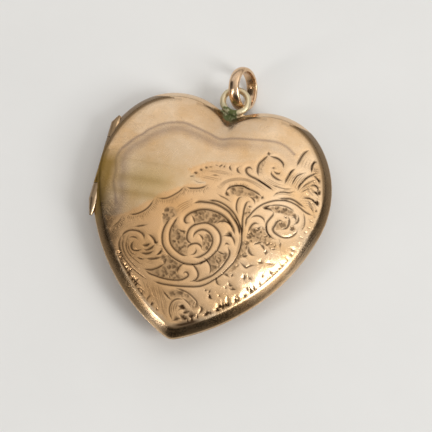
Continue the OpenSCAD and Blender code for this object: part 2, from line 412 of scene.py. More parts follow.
TINT_CLOUDS, TINT_SOFT, DULL_CLOUDS, DULL_SOFT, DULL_SEED = 260.0, 0.2, 900.0, 0.16, 3.0
MOTTLE, SCRATCH_DULL, BUMP_SHARE, BUMP_HEIGHT = 0.07, 0.15, 0.35, 0.00002
PATCH_SOFT, PATCH_SEED, PATCH_FROM, PATCH_FULL, PATCH_NOISE = 0.14, 5.0, 0.45, 1.15, 0.5


def gold(name, clean, warm, rough=0.2, marks=()):
    """Worn gold: two tints in soft clouds, fine scratches, and a tint over the points of each named mark:
    crusts, dirt, tarnish, painted shade and painted reflection.
    """
    material = bpy.data.materials.new(name)
    material.use_nodes = True
    tree = material.node_tree
    shader = tree.nodes["Principled BSDF"]
    tint = mixed(tree, worn(tree, haze, Clouds_per_metre=TINT_CLOUDS, Softness=TINT_SOFT), clean, warm)
    mottled = worn(tree, haze, Clouds_per_metre=DULL_CLOUDS, Softness=DULL_SOFT, Seed=DULL_SEED)
    dull = maths(tree, "ADD", maths(tree, "MULTIPLY", mottled, MOTTLE), rough)
    scratches = worn(tree, wear)
    bare = 1.0
    for label, colour, strength, dullness, patches, crust in marks:
        there = node(tree, "ShaderNodeAttribute", attribute_name=label).outputs["Fac"]
        if patches:
            broken = worn(tree, haze, Clouds_per_metre=patches, Softness=PATCH_SOFT, Seed=PATCH_SEED)
            there = maths(tree, "ADD", there, maths(tree, "MULTIPLY", broken, PATCH_NOISE))
            there = spread(tree, there, PATCH_FROM, PATCH_FULL)
        there = maths(tree, "MULTIPLY", there, strength, clamp=True)
        tint = mixed(tree, there, tint, colour)
        dull = maths(tree, "ADD", dull, maths(tree, "MULTIPLY", there, dullness))
        if crust:
            bare = maths(tree, "SUBTRACT", bare, there, clamp=True)
    feed(tree, shader.inputs["Base Color"], tint)
    scratched = maths(tree, "MULTIPLY", scratches, SCRATCH_DULL)
    feed(tree, shader.inputs["Roughness"], maths(tree, "ADD", dull, scratched))
    feed(tree, shader.inputs["Metallic"], bare)
    bump = node(tree, "ShaderNodeBump")
    bump.inputs["Strength"].default_value, bump.inputs["Distance"].default_value = BUMP_SHARE, BUMP_HEIGHT
    feed(tree, bump.inputs["Height"], maths(tree, "SUBTRACT", worn(tree, sheet_grain), scratches))
    feed(tree, shader.inputs["Normal"], bump.outputs[0])
    return material


def dressed(obj, material, body, cad_node):
    """Gives a piece its material and tells the frame what it rides on and stands for."""
    obj.data.materials.clear()
    obj.data.materials.append(material)
    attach(obj, body)
    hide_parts(cad_node)


# Painted shade: the sides, and at the lobes the top of the arris, are darkened to stand for shade and dark
# reflections, and so is the hinge
SIDE_FROM, SIDE_FADE, ARRIS_OVER, ARRIS_FADE = 0.14, 0.12, 0.02, 0.05
LOBE_FROM_Y, LOBE_OVER, SIDE_END_Y, HINGE_SHADE, HINGE_OVER = 3, 0.075, 11.3, 0.75, 0.05
# places where the painted shade is left off, so that highlights from the lamps show
UNSHADED_PLACES = ((10.2, -5.4, 2.6, 4.2), (-1.7, -12.9, 1.3, 1.1))  # middle, half width and half height
UNSHADED_SHARE = 0.9


def shaded_side(at, up):
    """Painted shade on a side: at the hinge, and off the seam's bright edge but for the places left bright
    for highlights.
    """
    high = up * (at[:, 2] - SEAM_Z)
    unshaded = sum(patch(at, *place) for place in UNSHADED_PLACES)
    limit = BAND_H + ARRIS_OVER + LOBE_OVER * rising(at[:, 1], LOBE_FROM_Y, 2)
    side = rising(high, SIDE_FROM, SIDE_FADE) * falling(high, limit, ARRIS_FADE) * (1 - UNSHADED_SHARE * unshaded)
    return np.maximum(side * (at[:, 1] < SIDE_END_Y), HINGE_SHADE * (at[:, 0] < HINGE_OVER - HINGE_X))


CRUST_X, CRUST_Y, CRUST_WIDE, CRUST_TALL, CRUST_DOWN = -0.35, CLEFT_Y + 0.55, 1 / 0.78, 1 / 0.85, 0.7
GREEN_R, PALE_R, EYE_FROM_Y = 1.3, 1.5, 11.4
CLEAN_GOLD, WARM_GOLD, EYE_GOLD = (0.84, 0.635, 0.43), (0.74, 0.48, 0.25), (0.76, 0.66, 0.44)
SHADE, PALE_CRUST, VERDIGRIS = (0.13, 0.075, 0.03), (0.52, 0.48, 0.30), (0.10, 0.115, 0.035)

back_half = half_case(case_outside("back_half", CROWN_Z - REST_FLAT), (0, 2, 4), (1, 3))
fitted(back_half, "UNION", solder_pool())
fitted(back_half, "UNION", eye_loop(EYE_WIRE_R))
at = placed(back_half, flip=True)
from_crust = np.hypot((at[:, 0] - CRUST_X) / CRUST_WIDE, (at[:, 1] - CRUST_Y) / CRUST_TALL)
crusted = at[:, 2] > SEAM_Z - CRUST_DOWN
mark(back_half, "green", np.clip(1.1 - from_crust / GREEN_R, 0, 0.62) * crusted)
mark(back_half, "pale_crust", np.clip(1.2 - from_crust / PALE_R, 0, 1) * crusted)
mark(back_half, "eye", rising(at[:, 1], EYE_FROM_Y, 0.5))
# painted shade on the sides and the hinge
mark(back_half, "side", shaded_side(at, -1))
back_gold = gold("worn_rose_gold", CLEAN_GOLD, WARM_GOLD, 0.24, (
    # mark, tint, strength, added dullness, patches per metre, whether it is a crust that hides the metal
    ("side", SHADE, 0.85, 0.06, 0, False),
    ("eye", EYE_GOLD, 0.9, 0.14, 0, False),
    ("pale_crust", PALE_CRUST, 0.95, 0.3, 700.0, True),
    ("green", VERDIGRIS, 1.5, 0.4, 2300.0, True)))
dressed(back_half, back_gold, "back", "back_shell")


# The cover is the mirror of the back, and its domed face is cut by hand with scrolls, leaves and a notched
# border. A graver ploughs each line as a tapering groove, some of the ground is matted with a punch, and the
# cuts hold dirt. Two knuckles stand at its left edge, between the three of the back.
CUTS = {
    "great scroll": [  # width, depth, points that the line passes
        (.15, .07, [(.25, .4), (1.2, .5), (2.05, .32), (2.8, -.05), (3.3, -.45), (3.7, -.9), (4.1, -1.45),
                    (4.4, -2), (4.62, -2.8), (4.74, -3.6), (4.66, -4.5), (4.44, -5.35), (4.1, -6),
                    (3.75, -6.6), (3.4, -7.1), (2.9, -7.65), (2.4, -8.15), (1.85, -8.55), (1.2, -8.8),
                    (.35, -9), (-.55, -9.15), (-1.45, -9.23), (-2.25, -9.24), (-3, -9.15)]),
        (.2, .1, [(-1.05, -.3), (-.55, 0), (0, .1), (.75, .18), (1.4, .12), (2.15, -.1), (2.7, -.36),
                  (3.2, -.8), (3.7, -1.28), (4.05, -1.75), (4.3, -2.4)]),
        (.2, .1, [(-1.02, -2.52), (-1.32, -2.56), (-1.5, -2.38), (-1.54, -2.12), (-1.42, -1.78),
                  (-1.15, -1.44), (-.82, -1.17), (-.4, -.9), (.05, -.73), (.6, -.63), (1.2, -.65),
                  (1.8, -.74), (2.32, -.94), (2.86, -1.28), (3.32, -1.74), (3.62, -2.15), (3.8, -2.5)]),
        (.17, .09, [(-2.3, -2.2), (-2.5, -2.9), (-2.63, -3.4), (-2.64, -3.95), (-2.53, -4.45), (-2.3, -5),
                    (-1.86, -5.45), (-1.24, -5.8), (-.7, -5.95), (-.32, -5.9)]),
        (.17, .09, [(.42, -5.93), (.86, -5.78), (1.27, -5.42), (1.62, -4.95), (1.79, -4.4), (1.82, -3.92),
                    (1.68, -3.45), (1.36, -3.08), (.95, -2.88), (.58, -2.86), (.23, -3), (-.05, -3.27),
                    (-.19, -3.62), (-.18, -3.9)]),
        (.17, .09, [(-3, -2.55), (-3.2, -3), (-3.34, -3.55), (-3.36, -4.2), (-3.24, -4.8), (-3, -5.36),
                    (-2.58, -5.82), (-2.02, -6.24), (-1.32, -6.55), (-.6, -6.74), (0, -6.74), (.68, -6.6),
                    (1.24, -6.28), (1.7, -5.88), (2.1, -5.35), (2.38, -4.85), (2.56, -4.35),
                    (2.63, -3.75), (2.52, -3.2), (2.23, -2.72), (1.78, -2.35), (1.32, -2.13),
                    (.78, -2.06), (.3, -2.18), (-.1, -2.38), (-.45, -2.62), (-.74, -3), (-.88, -3.5),
                    (-.83, -4.05), (-.6, -4.42), (-.15, -4.6)]),
        (.16, .08, [(.23, -3.43), (.5, -3.54), (.78, -3.78), (.84, -4.12)]),
        (.15, .08, [(-.47, -5.3), (-.42, -4.9), (-.14, -4.62), (.32, -4.44), (.76, -4.58), (1, -4.95)]),
        (.15, .08, [(.34, -4.95), (.46, -5.25), (.33, -5.55), (0, -5.77)]),
        (.15, .08, [(-.98, -1.58), (-.68, -1.9), (-.5, -2.18), (-.38, -2.5)]),
        (.15, .08, [(-1.88, -3.4), (-1.55, -3.52), (-1, -3.44)]),
        (.14, .07, [(1.7, -1.98), (1.95, -1.62), (2.4, -1.44), (2.9, -1.5), (3.35, -1.9)]),
        (.15, .08, [(2.7, -3.02), (3.05, -2.86), (3.5, -2.82), (3.85, -3.08), (4.15, -3.65)]),
        (.26, .11, [(2.95, -2.72), (3.28, -2.58), (3.62, -2.78)]),
        (.14, .07, [(3.1, -3.92), (3.25, -3.68), (3.6, -3.76)]),
        (.18, .09, [(3.5, -4.08), (3.75, -4.4), (3.82, -4.85), (3.7, -5.35), (3.42, -6.08), (3.05, -6.72),
                    (2.6, -7.3), (2.05, -7.74), (1.55, -8.08), (1.05, -8.35)]),
        (.15, .08, [(2.5, -4.52), (2.75, -4.74), (3.15, -4.82), (3.48, -4.7)]),
        (.16, .08, [(1.36, -5.7), (1.78, -5.92), (2.18, -6.28), (2.4, -6.74), (2.34, -7.25)]),
        (.13, .07, [(1.62, -5.98), (1.38, -6.22), (1.18, -6.58)]),
        (.17, .09, [(.42, -6.64), (.86, -6.95), (1.18, -7.32), (1.28, -7.72), (1.12, -8.1), (.66, -8.42)]),
        (.15, .08, [(-.76, -7.97), (-.88, -7.58), (-.73, -7.1), (-.4, -6.82)]),
        (.16, .08, [(-.14, -7.86), (-.18, -7.68), (.02, -7.58), (.24, -7.68), (.28, -7.95), (0, -8.26),
                    (-.36, -8.48), (-1, -8.63), (-1.65, -8.69), (-2.35, -8.67), (-2.95, -8.58),
                    (-3.55, -8.48), (-4.1, -8.28)]),
    ],
    "left scroll": [
        (.15, .07, [(-6.45, -4.07), (-5.91, -3.92), (-5.32, -3.71), (-5.12, -3.59)]),
        (.17, .09, [(-7.42, -5.26), (-7.26, -4.87), (-6.91, -4.57), (-6.51, -4.44), (-5.99, -4.42),
                    (-5.52, -4.55), (-5.19, -4.81), (-5.06, -5.16)]),
        (.14, .07, [(-6.7, -5.34), (-6.38, -5.15), (-6.01, -5.13), (-5.65, -5.35)]),
        (.17, .09, [(-6.08, -5.56), (-6.21, -5.88), (-6.16, -6.18), (-5.9, -6.41), (-5.45, -6.43),
                    (-5.02, -6.24)]),
        (.2, .1, [(-4.75, -4.6), (-4.36, -4.74), (-4.03, -5), (-3.81, -5.33), (-3.69, -5.13)]),
        (.34, .12, [(-3.84, -5.37), (-3.69, -5.22)]),
        (.28, .11, [(-5.05, -5.81), (-4.68, -5.74), (-4.33, -5.52)]),
        (.22, .1, [(-4.78, -6.22), (-4.45, -6.19), (-4.1, -5.93), (-3.83, -5.54)]),
        (.22, .1, [(-5.03, -6.61), (-4.45, -6.58), (-4.07, -6.41), (-3.8, -6.18)]),
        (.16, .08, [(-5.38, -7.09), (-4.83, -7.18), (-4.47, -7.11)]),
        (.2, .1, [(-4.32, -7.08), (-3.71, -6.99), (-3.23, -6.81), (-2.86, -6.67)]),
        (.2, .1, [(-3.4, -6.55), (-3.09, -6.23), (-2.95, -5.78)]),
        (.17, .09, [(-4.31, -8.14), (-3.63, -8.1), (-3.06, -7.86), (-2.71, -7.59), (-2.36, -7.24)]),
        (.12, .06, [(-7.57, -5.38), (-7.52, -6.04), (-7.25, -6.64), (-6.83, -7.2), (-6.17, -7.73),
                    (-5.35, -8.32), (-4.4, -8.81), (-3.74, -9.11)]),
        (.11, .05, [(-7.24, -5.34), (-7.17, -6), (-6.84, -6.68), (-6.3, -7.26), (-5.48, -7.86),
                    (-4.85, -8.23)]),
        (.11, .05, [(-6.86, -5.55), (-6.69, -6.25), (-6.2, -6.9), (-5.44, -7.36), (-4.56, -7.78)]),
        (.11, .05, [(-6.52, -5.71), (-6.44, -6.22), (-6, -6.75), (-5.43, -6.91)]),
        (.12, .06, [(-7.22, -7.42), (-6.52, -8.05), (-5.67, -8.84), (-4.87, -9.43), (-4, -9.9)]),
        (.13, .06, [(-4.53, -9.93), (-4.29, -10.34), (-3.8, -10.67), (-3.42, -10.9)]),
        (.12, .06, [(-4.41, -9.88), (-3.93, -10.19), (-3.52, -10.52)]),
        (.13, .06, [(-3.42, -6.54), (-3.14, -6.38), (-3, -6), (-3.04, -5.6)]),
    ],
    "scalloped edge": [
        (.14, .07, [(-.2, 2.02), (-.54, 1.68), (-.94, 1.45), (-1.5, 1.28), (-1.9, 1.21), (-2.32, 1.27)]),
        (.13, .06, [(-2.4, 1.26), (-2.62, .96), (-2.82, .62), (-3.1, .3), (-3.5, -.1), (-3.95, -.42),
                    (-4.4, -.57), (-4.85, -.6)]),
        (.14, .07, [(-5.2, -.9), (-5.32, -1.4), (-5.55, -1.86), (-5.86, -2.23), (-6.32, -2.59),
                    (-6.78, -2.79), (-7.3, -2.86)]),
        (.12, .05, [(-7.95, -3.2), (-8.14, -3.76), (-8.45, -4.14), (-8.8, -4.46)]),
    ],
    "dots and crescents": [
        (.2, .08, [(-1.74, 3.02), (-1.7, 3.02)]),
        (.18, .07, [(-1.3, 3.52), (-1.24, 3.47)]),
        (.17, .07, [(-.84, 3.87), (-.78, 3.87)]),
        (.12, .05, [(-.42, 4.06), (-.36, 4.08)]),
        (.12, .05, [(-2.12, 2.52), (-2.06, 2.54)]),
        (.1, .04, [(.1, 4.4), (.2, 4.38)]),
        (.13, .06, [(.5, 4.36), (.62, 4.52)]),
        (.14, .07, [(.94, 4.3), (.94, 4.62)]),
        (.16, .08, [(1.55, 4.78), (1.5, 4.55), (1.62, 4.35), (1.8, 4.2)]),
        (.17, .08, [(2.42, 4.86), (2.3, 4.57), (2.46, 4.28), (2.8, 4.1)]),
        (.18, .09, [(3.8, 4.9), (3.63, 5.05), (3.38, 5.06), (3.2, 4.84), (3.25, 4.56), (3.46, 4.32),
                    (3.86, 4.14), (4.4, 4.03), (5.1, 3.8), (5.8, 3.54), (6.4, 3.3)]),
        (.13, .05, [(-.15, 3.15), (.25, 3.26), (.68, 3.28)]),
        (.08, .03, [(-1.9, 2.24), (-1.5, 2.12), (-1.1, 2.05), (-.54, 2.2)]),
    ],
    "turned leaf": [
        (.27, .11, [(2.2, 1.4), (1.96, 1.54), (1.82, 1.78)]),
        (.17, .09, [(1.82, 1.78), (1.9, 2.06), (2.12, 2.36), (2.5, 2.6), (2.9, 2.74), (3.35, 2.82),
                    (3.9, 2.7), (4.5, 2.6), (5, 2.46), (5.4, 2.26)]),
        (.26, .1, [(5.6, 2.3), (5.52, 2.02)]),
        (.13, .07, [(3.6, 1.66), (3.36, 1.5), (3.22, 1.25), (3.2, .72), (3.32, .18), (3.6, -.3)]),
        (.16, .08, [(4.2, 1.87), (4.55, 1.8), (4.84, 1.6), (5, 1.24)]),
        (.15, .08, [(4.4, 1.36), (4.15, 1.12), (4.08, .45), (4.14, -.2), (4.2, -.82), (4.36, -1.5),
                    (4.6, -2.4)]),
        (.17, .08, [(4.4, .8), (4.72, .8)]),
        (.11, .05, [(1, 1.3), (1.4, 1.15), (2, 1), (2.6, .75)]),
    ],
    "right scroll": [
        (.14, .07, [(4.7, -1.5), (4.58, -.65), (4.77, -.18), (5, .36), (5.32, .9), (5.77, 1.44),
                    (6.23, 1.82), (6.78, 2.18), (7.35, 2.42), (7.9, 2.58), (8.5, 2.6), (9.1, 2.5),
                    (9.6, 2.3), (10.1, 2.08), (10.6, 1.98), (11, 1.96)]),
        (.17, .08, [(7.2, 2.6), (7.86, 2.8), (8.4, 2.94), (8.95, 2.86), (9.5, 2.66), (9.95, 2.5)]),
        (.19, .09, [(6.62, 1.62), (6.3, 1.35), (6.06, 1.12), (6.6, 1.14), (6.98, .98)]),
        (.12, .06, [(6.4, 1.4), (6.86, 1.68), (7.4, 1.87), (8.05, 1.96), (8.7, 1.86), (9.1, 1.66)]),
        (.15, .08, [(7.06, 1.02), (7.06, .62), (6.86, .16), (6.68, -.36), (6.73, -.84), (6.92, -1.28),
                    (7.25, -1.6), (7.75, -1.82)]),
        (.17, .09, [(8.2, .28), (7.88, .3), (7.66, .08), (7.54, -.36), (7.43, -.75), (7.56, -1.05),
                    (7.95, -1.24), (8.5, -1.31), (9.05, -1.18), (9.5, -.86), (9.77, -.42), (9.86, -.08)]),
        (.15, .08, [(8.62, .97), (8.82, .64), (8.87, .18), (8.73, -.24), (8.28, -.6)]),
        (.17, .08, [(8.25, .86), (8.52, .76)]),
        (.14, .07, [(9.02, .98), (9.22, 1.14), (9.42, 1), (9.48, .72)]),
        (.14, .07, [(9.55, 1.46), (9.69, 1.1), (9.65, .72), (9.35, .28)]),
        (.14, .07, [(9.05, -.22), (9.5, -.33)]),
        (.14, .07, [(5, -.4), (5.12, -.18), (5.42, .03), (5.82, .09), (6.25, -.08), (6.46, -.46)]),
        (.17, .09, [(5.08, -1.92), (5.18, -1.36), (5.32, -.96), (5.58, -.75), (5.88, -.78)]),
        (.14, .07, [(5.64, -1.23), (5.95, -1.21), (6.25, -.93)]),
        (.24, .09, [(6.22, -1.45), (6.42, -1.58)]),
        (.1, .05, [(10.02, 1.9), (10.27, 1.36), (10.41, .7), (10.3, 0)]),
        (.14, .06, [(8.4, -1.72), (8.52, -2.1), (8.65, -2.56)]),
    ],
    "bud and acanthus": [
        (.25, .108, [(4.9, 7.42), (5.08, 7.08)]),
        (.19, .096, [(4.97, 7.02), (4.64, 6.41), (4.37, 5.88), (4.31, 5.4), (4.4, 4.88), (4.56, 4.48)]),
        (.17, .096, [(5.16, 7), (5.9, 7), (6.32, 6.86), (6.68, 6.58), (6.83, 6.14)]),
        (.16, .084, [(5.73, 5.76), (6, 5.8)]),
        (.18, .096, [(5.98, 5.42), (6.23, 5.3), (6.56, 5.3), (6.62, 5.5)]),
        (.18, .096, [(5.73, 5.3), (5.86, 5), (6.23, 4.76), (6.66, 4.63), (7.02, 4.62)]),
        (.18, .096, [(7.41, 4.42), (7.48, 4.95), (7.61, 5.55), (7.78, 6.05), (8.02, 6.4)]),
        (.2, .096, [(8.13, 6.82), (8.22, 7.4), (8.36, 8.05), (8.55, 8.55), (8.86, 8.95)]),
        (.21, .108, [(9.64, 7.8), (9.63, 7.2), (9.74, 6.55)]),
        (.16, .084, [(8.86, 4.1), (8.91, 4.68), (9.06, 5.06), (9.42, 5.78), (9.92, 6.36), (10.3, 6.7)]),
        (.11, .06, [(8.12, 4.4), (8.22, 5.05), (8.4, 5.6), (8.68, 5.96), (9.15, 6.34)]),
        (.16, .084, [(10, 5.02), (10.32, 5.27), (10.68, 5.14), (10.98, 4.7)]),
        (.13, .072, [(10.2, 4.66), (10.55, 4.58), (10.9, 4.4), (11.05, 4.1)]),
        (.16, .084, [(9.55, 3.42), (10, 3.63), (10.58, 3.6), (10.95, 3.25)]),
        (.25, .108, [(10.56, 7.7), (10.6, 7.2), (10.72, 6.8)]),
        (.11, .06, [(6.62, 2.72), (6.95, 3.16), (7.45, 3.43), (8.05, 3.56), (8.6, 3.9)]),
        (.1, .048, [(6, 3.84), (6.8, 3.8), (7.6, 3.84), (8.3, 4.1)]),
        (.1, .048, [(9.1, 4.3), (9.5, 5), (9.95, 5.55), (10.5, 5.95)]),
        (.1, .048, [(9.2, 3.9), (9.6, 4.4), (10.05, 4.75)]),
        (.18, .096, [(9.73, 6.59), (9.63, 7.21), (9.77, 7.86), (9.95, 8.32)]),
        (.25, .108, [(9.72, 8.96), (10.01, 8.56)]),
        (.27, .12, [(10.4, 7.57), (10.65, 7.24)]),
        (.22, .108, [(10.57, 6.78), (10.78, 6.42)]),
        (.27, .12, [(10.75, 5.87), (11.06, 5.5)]),
        (.25, .12, [(10.95, 4.76), (11.2, 4.32)]),
        (.25, .12, [(11, 3.72), (11.21, 3.17)]),
        (.2, .096, [(11.08, 2.59), (11.3, 2.55)]),
        (.16, .084, [(9.95, 6.28), (10.38, 6.11), (10.76, 5.76), (10.94, 5.4)]),
        (.13, .072, [(10.29, 4.47), (10.68, 4.45), (11.06, 4.17)]),
        (.22, .12, [(10.51, 3.54), (10.93, 3.43), (11.16, 3.15)]),
        (.11, .048, [(10.29, 2.83), (10.74, 2.58), (11.08, 2.19)]),
        (.09, .036, [(9.81, 6.89), (10.51, 7.21)]),
        (.09, .036, [(9.83, 6.67), (10.54, 6.96)]),
        (.09, .036, [(9.85, 6.45), (10.57, 6.69)]),
        (.09, .036, [(9.97, 6.21), (10.62, 6.4)]),
    ],
    "loose petals": [
        (.19, .091, [(5.95, -3.05), (6.22, -2.78), (6.75, -2.46)]),
        (.18, .091, [(6.5, -2.74), (6.86, -2.9), (7.16, -3.25)]),
        (.2, .104, [(5.5, -3.34), (5.63, -3.8), (5.92, -4.06), (6.28, -4.1)]),
        (.25, .104, [(7.32, -3.18), (7.36, -3.66)]),
        (.15, .065, [(7.75, -2.92), (8.25, -2.76)]),
        (.15, .065, [(7.58, -4.42), (8.1, -4.34), (8.4, -4.2)]),
        (.25, .104, [(6.82, -4.56), (7.28, -4.58)]),
        (.2, .091, [(5.14, -4.62), (5.62, -4.28)]),
        (.16, .078, [(5.06, -5.2), (5.54, -5.44), (5.8, -5.52), (6.1, -5.25), (6.58, -5.04)]),
        (.14, .065, [(7.52, -5.56), (7.63, -5.94)]),
        (.16, .078, [(6.14, -6.2), (6.32, -6.42), (6.68, -6.53)]),
        (.22, .104, [(5.68, -6.26), (5.84, -6.5), (5.9, -6.82)]),
        (.18, .078, [(4.62, -6.5), (4.58, -6.9)]),
        (.19, .091, [(3.68, -6.8), (4.02, -6.8), (4.32, -6.92)]),
        (.18, .091, [(3.25, -7.3), (3.17, -7.6), (3.38, -7.88), (3.65, -8)]),
        (.19, .091, [(4.42, -7.44), (4.6, -7.68), (4.92, -7.68)]),
        (.21, .104, [(4.52, -7.94), (4.9, -7.98), (5.32, -7.93)]),
        (.16, .078, [(4.15, -8.08), (4.4, -8.05)]),
        (.16, .078, [(2.84, -8.7), (2.74, -9.1)]),
        (.2, .091, [(2.74, -9.2), (2.98, -9.42), (3.28, -9.52)]),
        (.16, .078, [(6.06, -7.4), (6.36, -7.45), (6.68, -7.76)]),
        (.25, .117, [(5.38, -8.88), (5.7, -8.82)]),
        (.15, .065, [(2.2, -8.95), (2.55, -8.8)]),
        (.15, .065, [(3.7, -8.9), (4, -9.1)]),
    ],
    "scroll at the tip": [
        (.13, .06, [(-.6, -9.4), (.15, -9.45), (.75, -9.58), (1.27, -9.82), (1.73, -10.1), (2.1, -10.42)]),
        (.15, .07, [(-1.92, -9.8), (-1.45, -10.18), (-1, -10.5), (-.72, -10.66)]),
        (.12, .06, [(.4, -10.34), (0, -10.36), (-.36, -10.5), (-.64, -10.82), (-.73, -11.27),
                    (-.66, -11.75), (-.4, -12.2), (-.1, -12.6)]),
        (.12, .06, [(.2, -10.18), (.73, -10.36), (1.2, -10.66), (1.4, -11)]),
        (.18, .08, [(.2, -11.05), (.45, -10.92), (.78, -10.95)]),
        (.12, .05, [(.1, -11.7), (.3, -11.35), (.62, -11.2), (.9, -11.35)]),
        (.32, .1, [(.1, -11.07), (.5, -11.08), (.95, -11.16)]),
        (.3, .1, [(.66, -11.62), (1, -11.44), (1.32, -11.3)]),
        (.42, .11, [(.45, -11.86), (.85, -12.02), (1.32, -12.02)]),
        (.56, .1, [(1.3, -11.8), (1.58, -11.62), (1.9, -11.5)]),
        (.26, .11, [(2.25, -11.3), (2.43, -10.96), (2.44, -10.68), (2.17, -10.5)]),
        (.34, .1, [(-.06, -12.6), (.2, -12.36), (.52, -12.2)]),
        (.36, .12, [(.2, -12.85), (.8, -12.76), (1.5, -12.4), (2.2, -12.02), (3, -11.6)]),
        (.36, .14, [(3.99, -10.22), (4.18, -9.94), (4.4, -10.04)]),
        (.36, .14, [(4.52, -9.84), (4.76, -9.64), (4.98, -9.73)]),
        (.3, .12, [(3.94, -10.51), (4.22, -10.3)]),
        (.2, .09, [(2.74, -9.15), (3.11, -9.44)]),
        (.16, .08, [(-4.45, -10.02), (-4.2, -10.23)]),
        (.18, .08, [(-3.36, -11.24), (-3.12, -11.05)]),
        (.3, .1, [(2.79, -11.14), (3.35, -10.79)]),
        (.09, .04, [(-.5, -10.9), (-.52, -11.5), (-.3, -12)]),
        (.09, .04, [(-.3, -10.75), (-.32, -11.4), (-.12, -11.95)]),
        (.09, .04, [(-.05, -10.7), (-.1, -11.3), (.05, -11.8)]),
        (.1, .03, [(-2.55, -9.4), (-2.05, -10.2), (-1.65, -11.1), (-1.25, -11.9), (-.8, -12.4)]),
        (.1, .025, [(-3.1, -9.4), (-2.6, -10.2), (-2.15, -11), (-1.7, -11.6)]),
        (.1, .025, [(-3.7, -9.25), (-3.2, -10), (-2.85, -10.6), (-2.6, -11)]),
        (.09, .025, [(-4.3, -9.05), (-3.8, -9.7), (-3.5, -10.3)]),
        (.1, .02, [(-2.1, -9.5), (-1.6, -10.4), (-1.2, -11.2), (-.9, -12)]),
        (.12, .05, [(-4.5, -9.98), (-4.36, -10.4), (-3.9, -10.77), (-3.4, -11)]),
        (.14, .06, [(-3.15, -10.95), (-3.36, -11.22), (-3, -11.55), (-2.45, -11.88)]),
    ],
}
GROUND = [  # outlines of the stippled ground
    [(-.95, -1.35), (-.4, -1.02), (.1, -.84), (.8, -.76), (1.8, -.86), (2.5, -1.14), (2.9, -1.42),
     (2.4, -1.34), (1.85, -1.56), (1.58, -2.02), (.8, -1.94), (.25, -2.05), (-.34, -2.38), (-.55, -1.92),
     (-.85, -1.5)],
    [(-2.4, -2.75), (-1.95, -3.3), (-1.05, -3.55), (-.98, -4.05), (-.72, -4.52), (-.32, -4.75),
     (-.55, -5.2), (-.4, -5.78), (-.8, -5.85), (-1.4, -5.62), (-1.95, -5.22), (-2.36, -4.6), (-2.5, -3.9),
     (-2.5, -3.3)],
    [(1, -3.2), (1.4, -3.4), (1.65, -3.9), (1.62, -4.6), (1.35, -5.15), (1.12, -4.9), (.88, -4.5),
     (.96, -4.1), (.9, -3.6)],
    [(2.15, -5.45), (2.55, -4.9), (3.1, -4.98), (3.62, -4.9), (3.55, -5.4), (3.25, -6.05), (2.85, -6.7),
     (2.52, -7.08), (2.5, -6.6), (2.25, -6.1), (1.9, -5.8)],
    [(-3.1, -6.62), (-2.3, -6.32), (-1.4, -6.66), (-.6, -6.9), (-.82, -7.2), (-.98, -7.6), (-.85, -8.08),
     (0, -8.1), (-.4, -8.38), (-1.2, -8.52), (-2.2, -8.55), (-3.2, -8.4), (-3.9, -8.15), (-3.2, -8.08),
     (-2.55, -7.72), (-2.35, -7.15)],
    [(-3.8, -1.6), (-3.3, -1.25), (-2.7, -1.4), (-2.4, -2), (-2.85, -2.4), (-3.2, -2.95), (-3.45, -3.2),
     (-3.75, -2.6)],
    [(6.5, 1.25), (7.2, 1.7), (8.2, 1.83), (8.95, 1.62), (9.35, 1.3), (9, 1.2), (8.5, 1.1), (7.9, 1.2),
     (7.3, 1.05), (7.05, 1.1)],
    [(2.1, 2.2), (2.6, 2.48), (3.3, 2.68), (4.4, 2.48), (5.3, 2.16), (5.25, 1.5), (4.95, 1.85), (4.3, 2),
     (3.7, 1.8), (3.1, 1.6), (2.5, 1.75)],
    [(5.25, -1.5), (5.6, -1.4), (6.5, -1.15), (6.9, -1.55), (7.5, -2), (7.1, -2.6), (6.4, -2.45),
     (5.7, -2.9), (5.15, -2.6)],
    [(4.95, -2.8), (5.3, -3.2), (5.4, -3.9), (5, -4.5), (4.8, -5.2), (5, -5.6), (4.6, -6.2), (4.1, -6.5),
     (4.5, -5.4), (4.75, -4.5), (4.85, -3.6)],
    [(-.5, -9.6), (.2, -9.62), (1, -9.88), (1.7, -10.25), (2.1, -10.7), (1.7, -11.1), (1.35, -10.7),
     (.8, -10.25), (.3, -10.08), (-.4, -10.2), (-.9, -10.2), (-1.3, -9.9)],
    [(9.15, .2), (9.5, .1), (9.75, -.1), (9.3, -.25), (9, -.1)],
    [(7.75, -.2), (8, .05), (8.5, .4), (8.65, -.1), (8.2, -.5), (7.75, -.8), (7.65, -.5)],
    [(4.4, .6), (4.7, .55), (4.75, .1), (4.5, -.5), (4.3, -.3), (4.3, .3)],
    [(7.3, -2.3), (8, -2.1), (8.2, -2.6), (7.7, -2.85), (7.2, -2.7)],
]
HATCHES = [  # near and far side of a band of short fine cuts, lean, pitch, line that the band follows
    (.08, .75, .25, .13, [(-2.45, 1.2), (-2.62, .96), (-2.82, .62), (-3.1, .3), (-3.5, -.1),
                          (-3.95, -.42), (-4.4, -.57), (-4.85, -.6)]),
    (.08, .7, .1, .13, [(-.3, 1.9), (-.54, 1.68), (-.94, 1.45), (-1.5, 1.28), (-1.9, 1.21), (-2.32, 1.27)]),
    (.1, .75, .2, .14, [(-5.2, -.95), (-5.32, -1.4), (-5.55, -1.86), (-5.86, -2.23), (-6.32, -2.59),
                        (-6.78, -2.79), (-7.3, -2.86)]),
    (.08, .5, .2, .14, [(-8, -3.3), (-8.14, -3.76), (-8.45, -4.14), (-8.8, -4.46)]),
    (-.1, -.38, .3, .12, [(3.9, 2.6), (3.3, 2.7), (2.5, 2.5), (2.1, 2.25)]),
    (.12, .42, .4, .13, [(4.75, 6.3), (4.5, 5.9), (4.43, 5.4), (4.5, 4.9)]),
    (.1, .4, .3, .12, [(6.5, -.8), (6.85, -1.5), (7.3, -1.85), (7.8, -2)]),
    (-.1, -.45, .2, .15, [(-3, -5.4), (-2.6, -5.9), (-2.02, -6.32), (-1.32, -6.65)]),
]
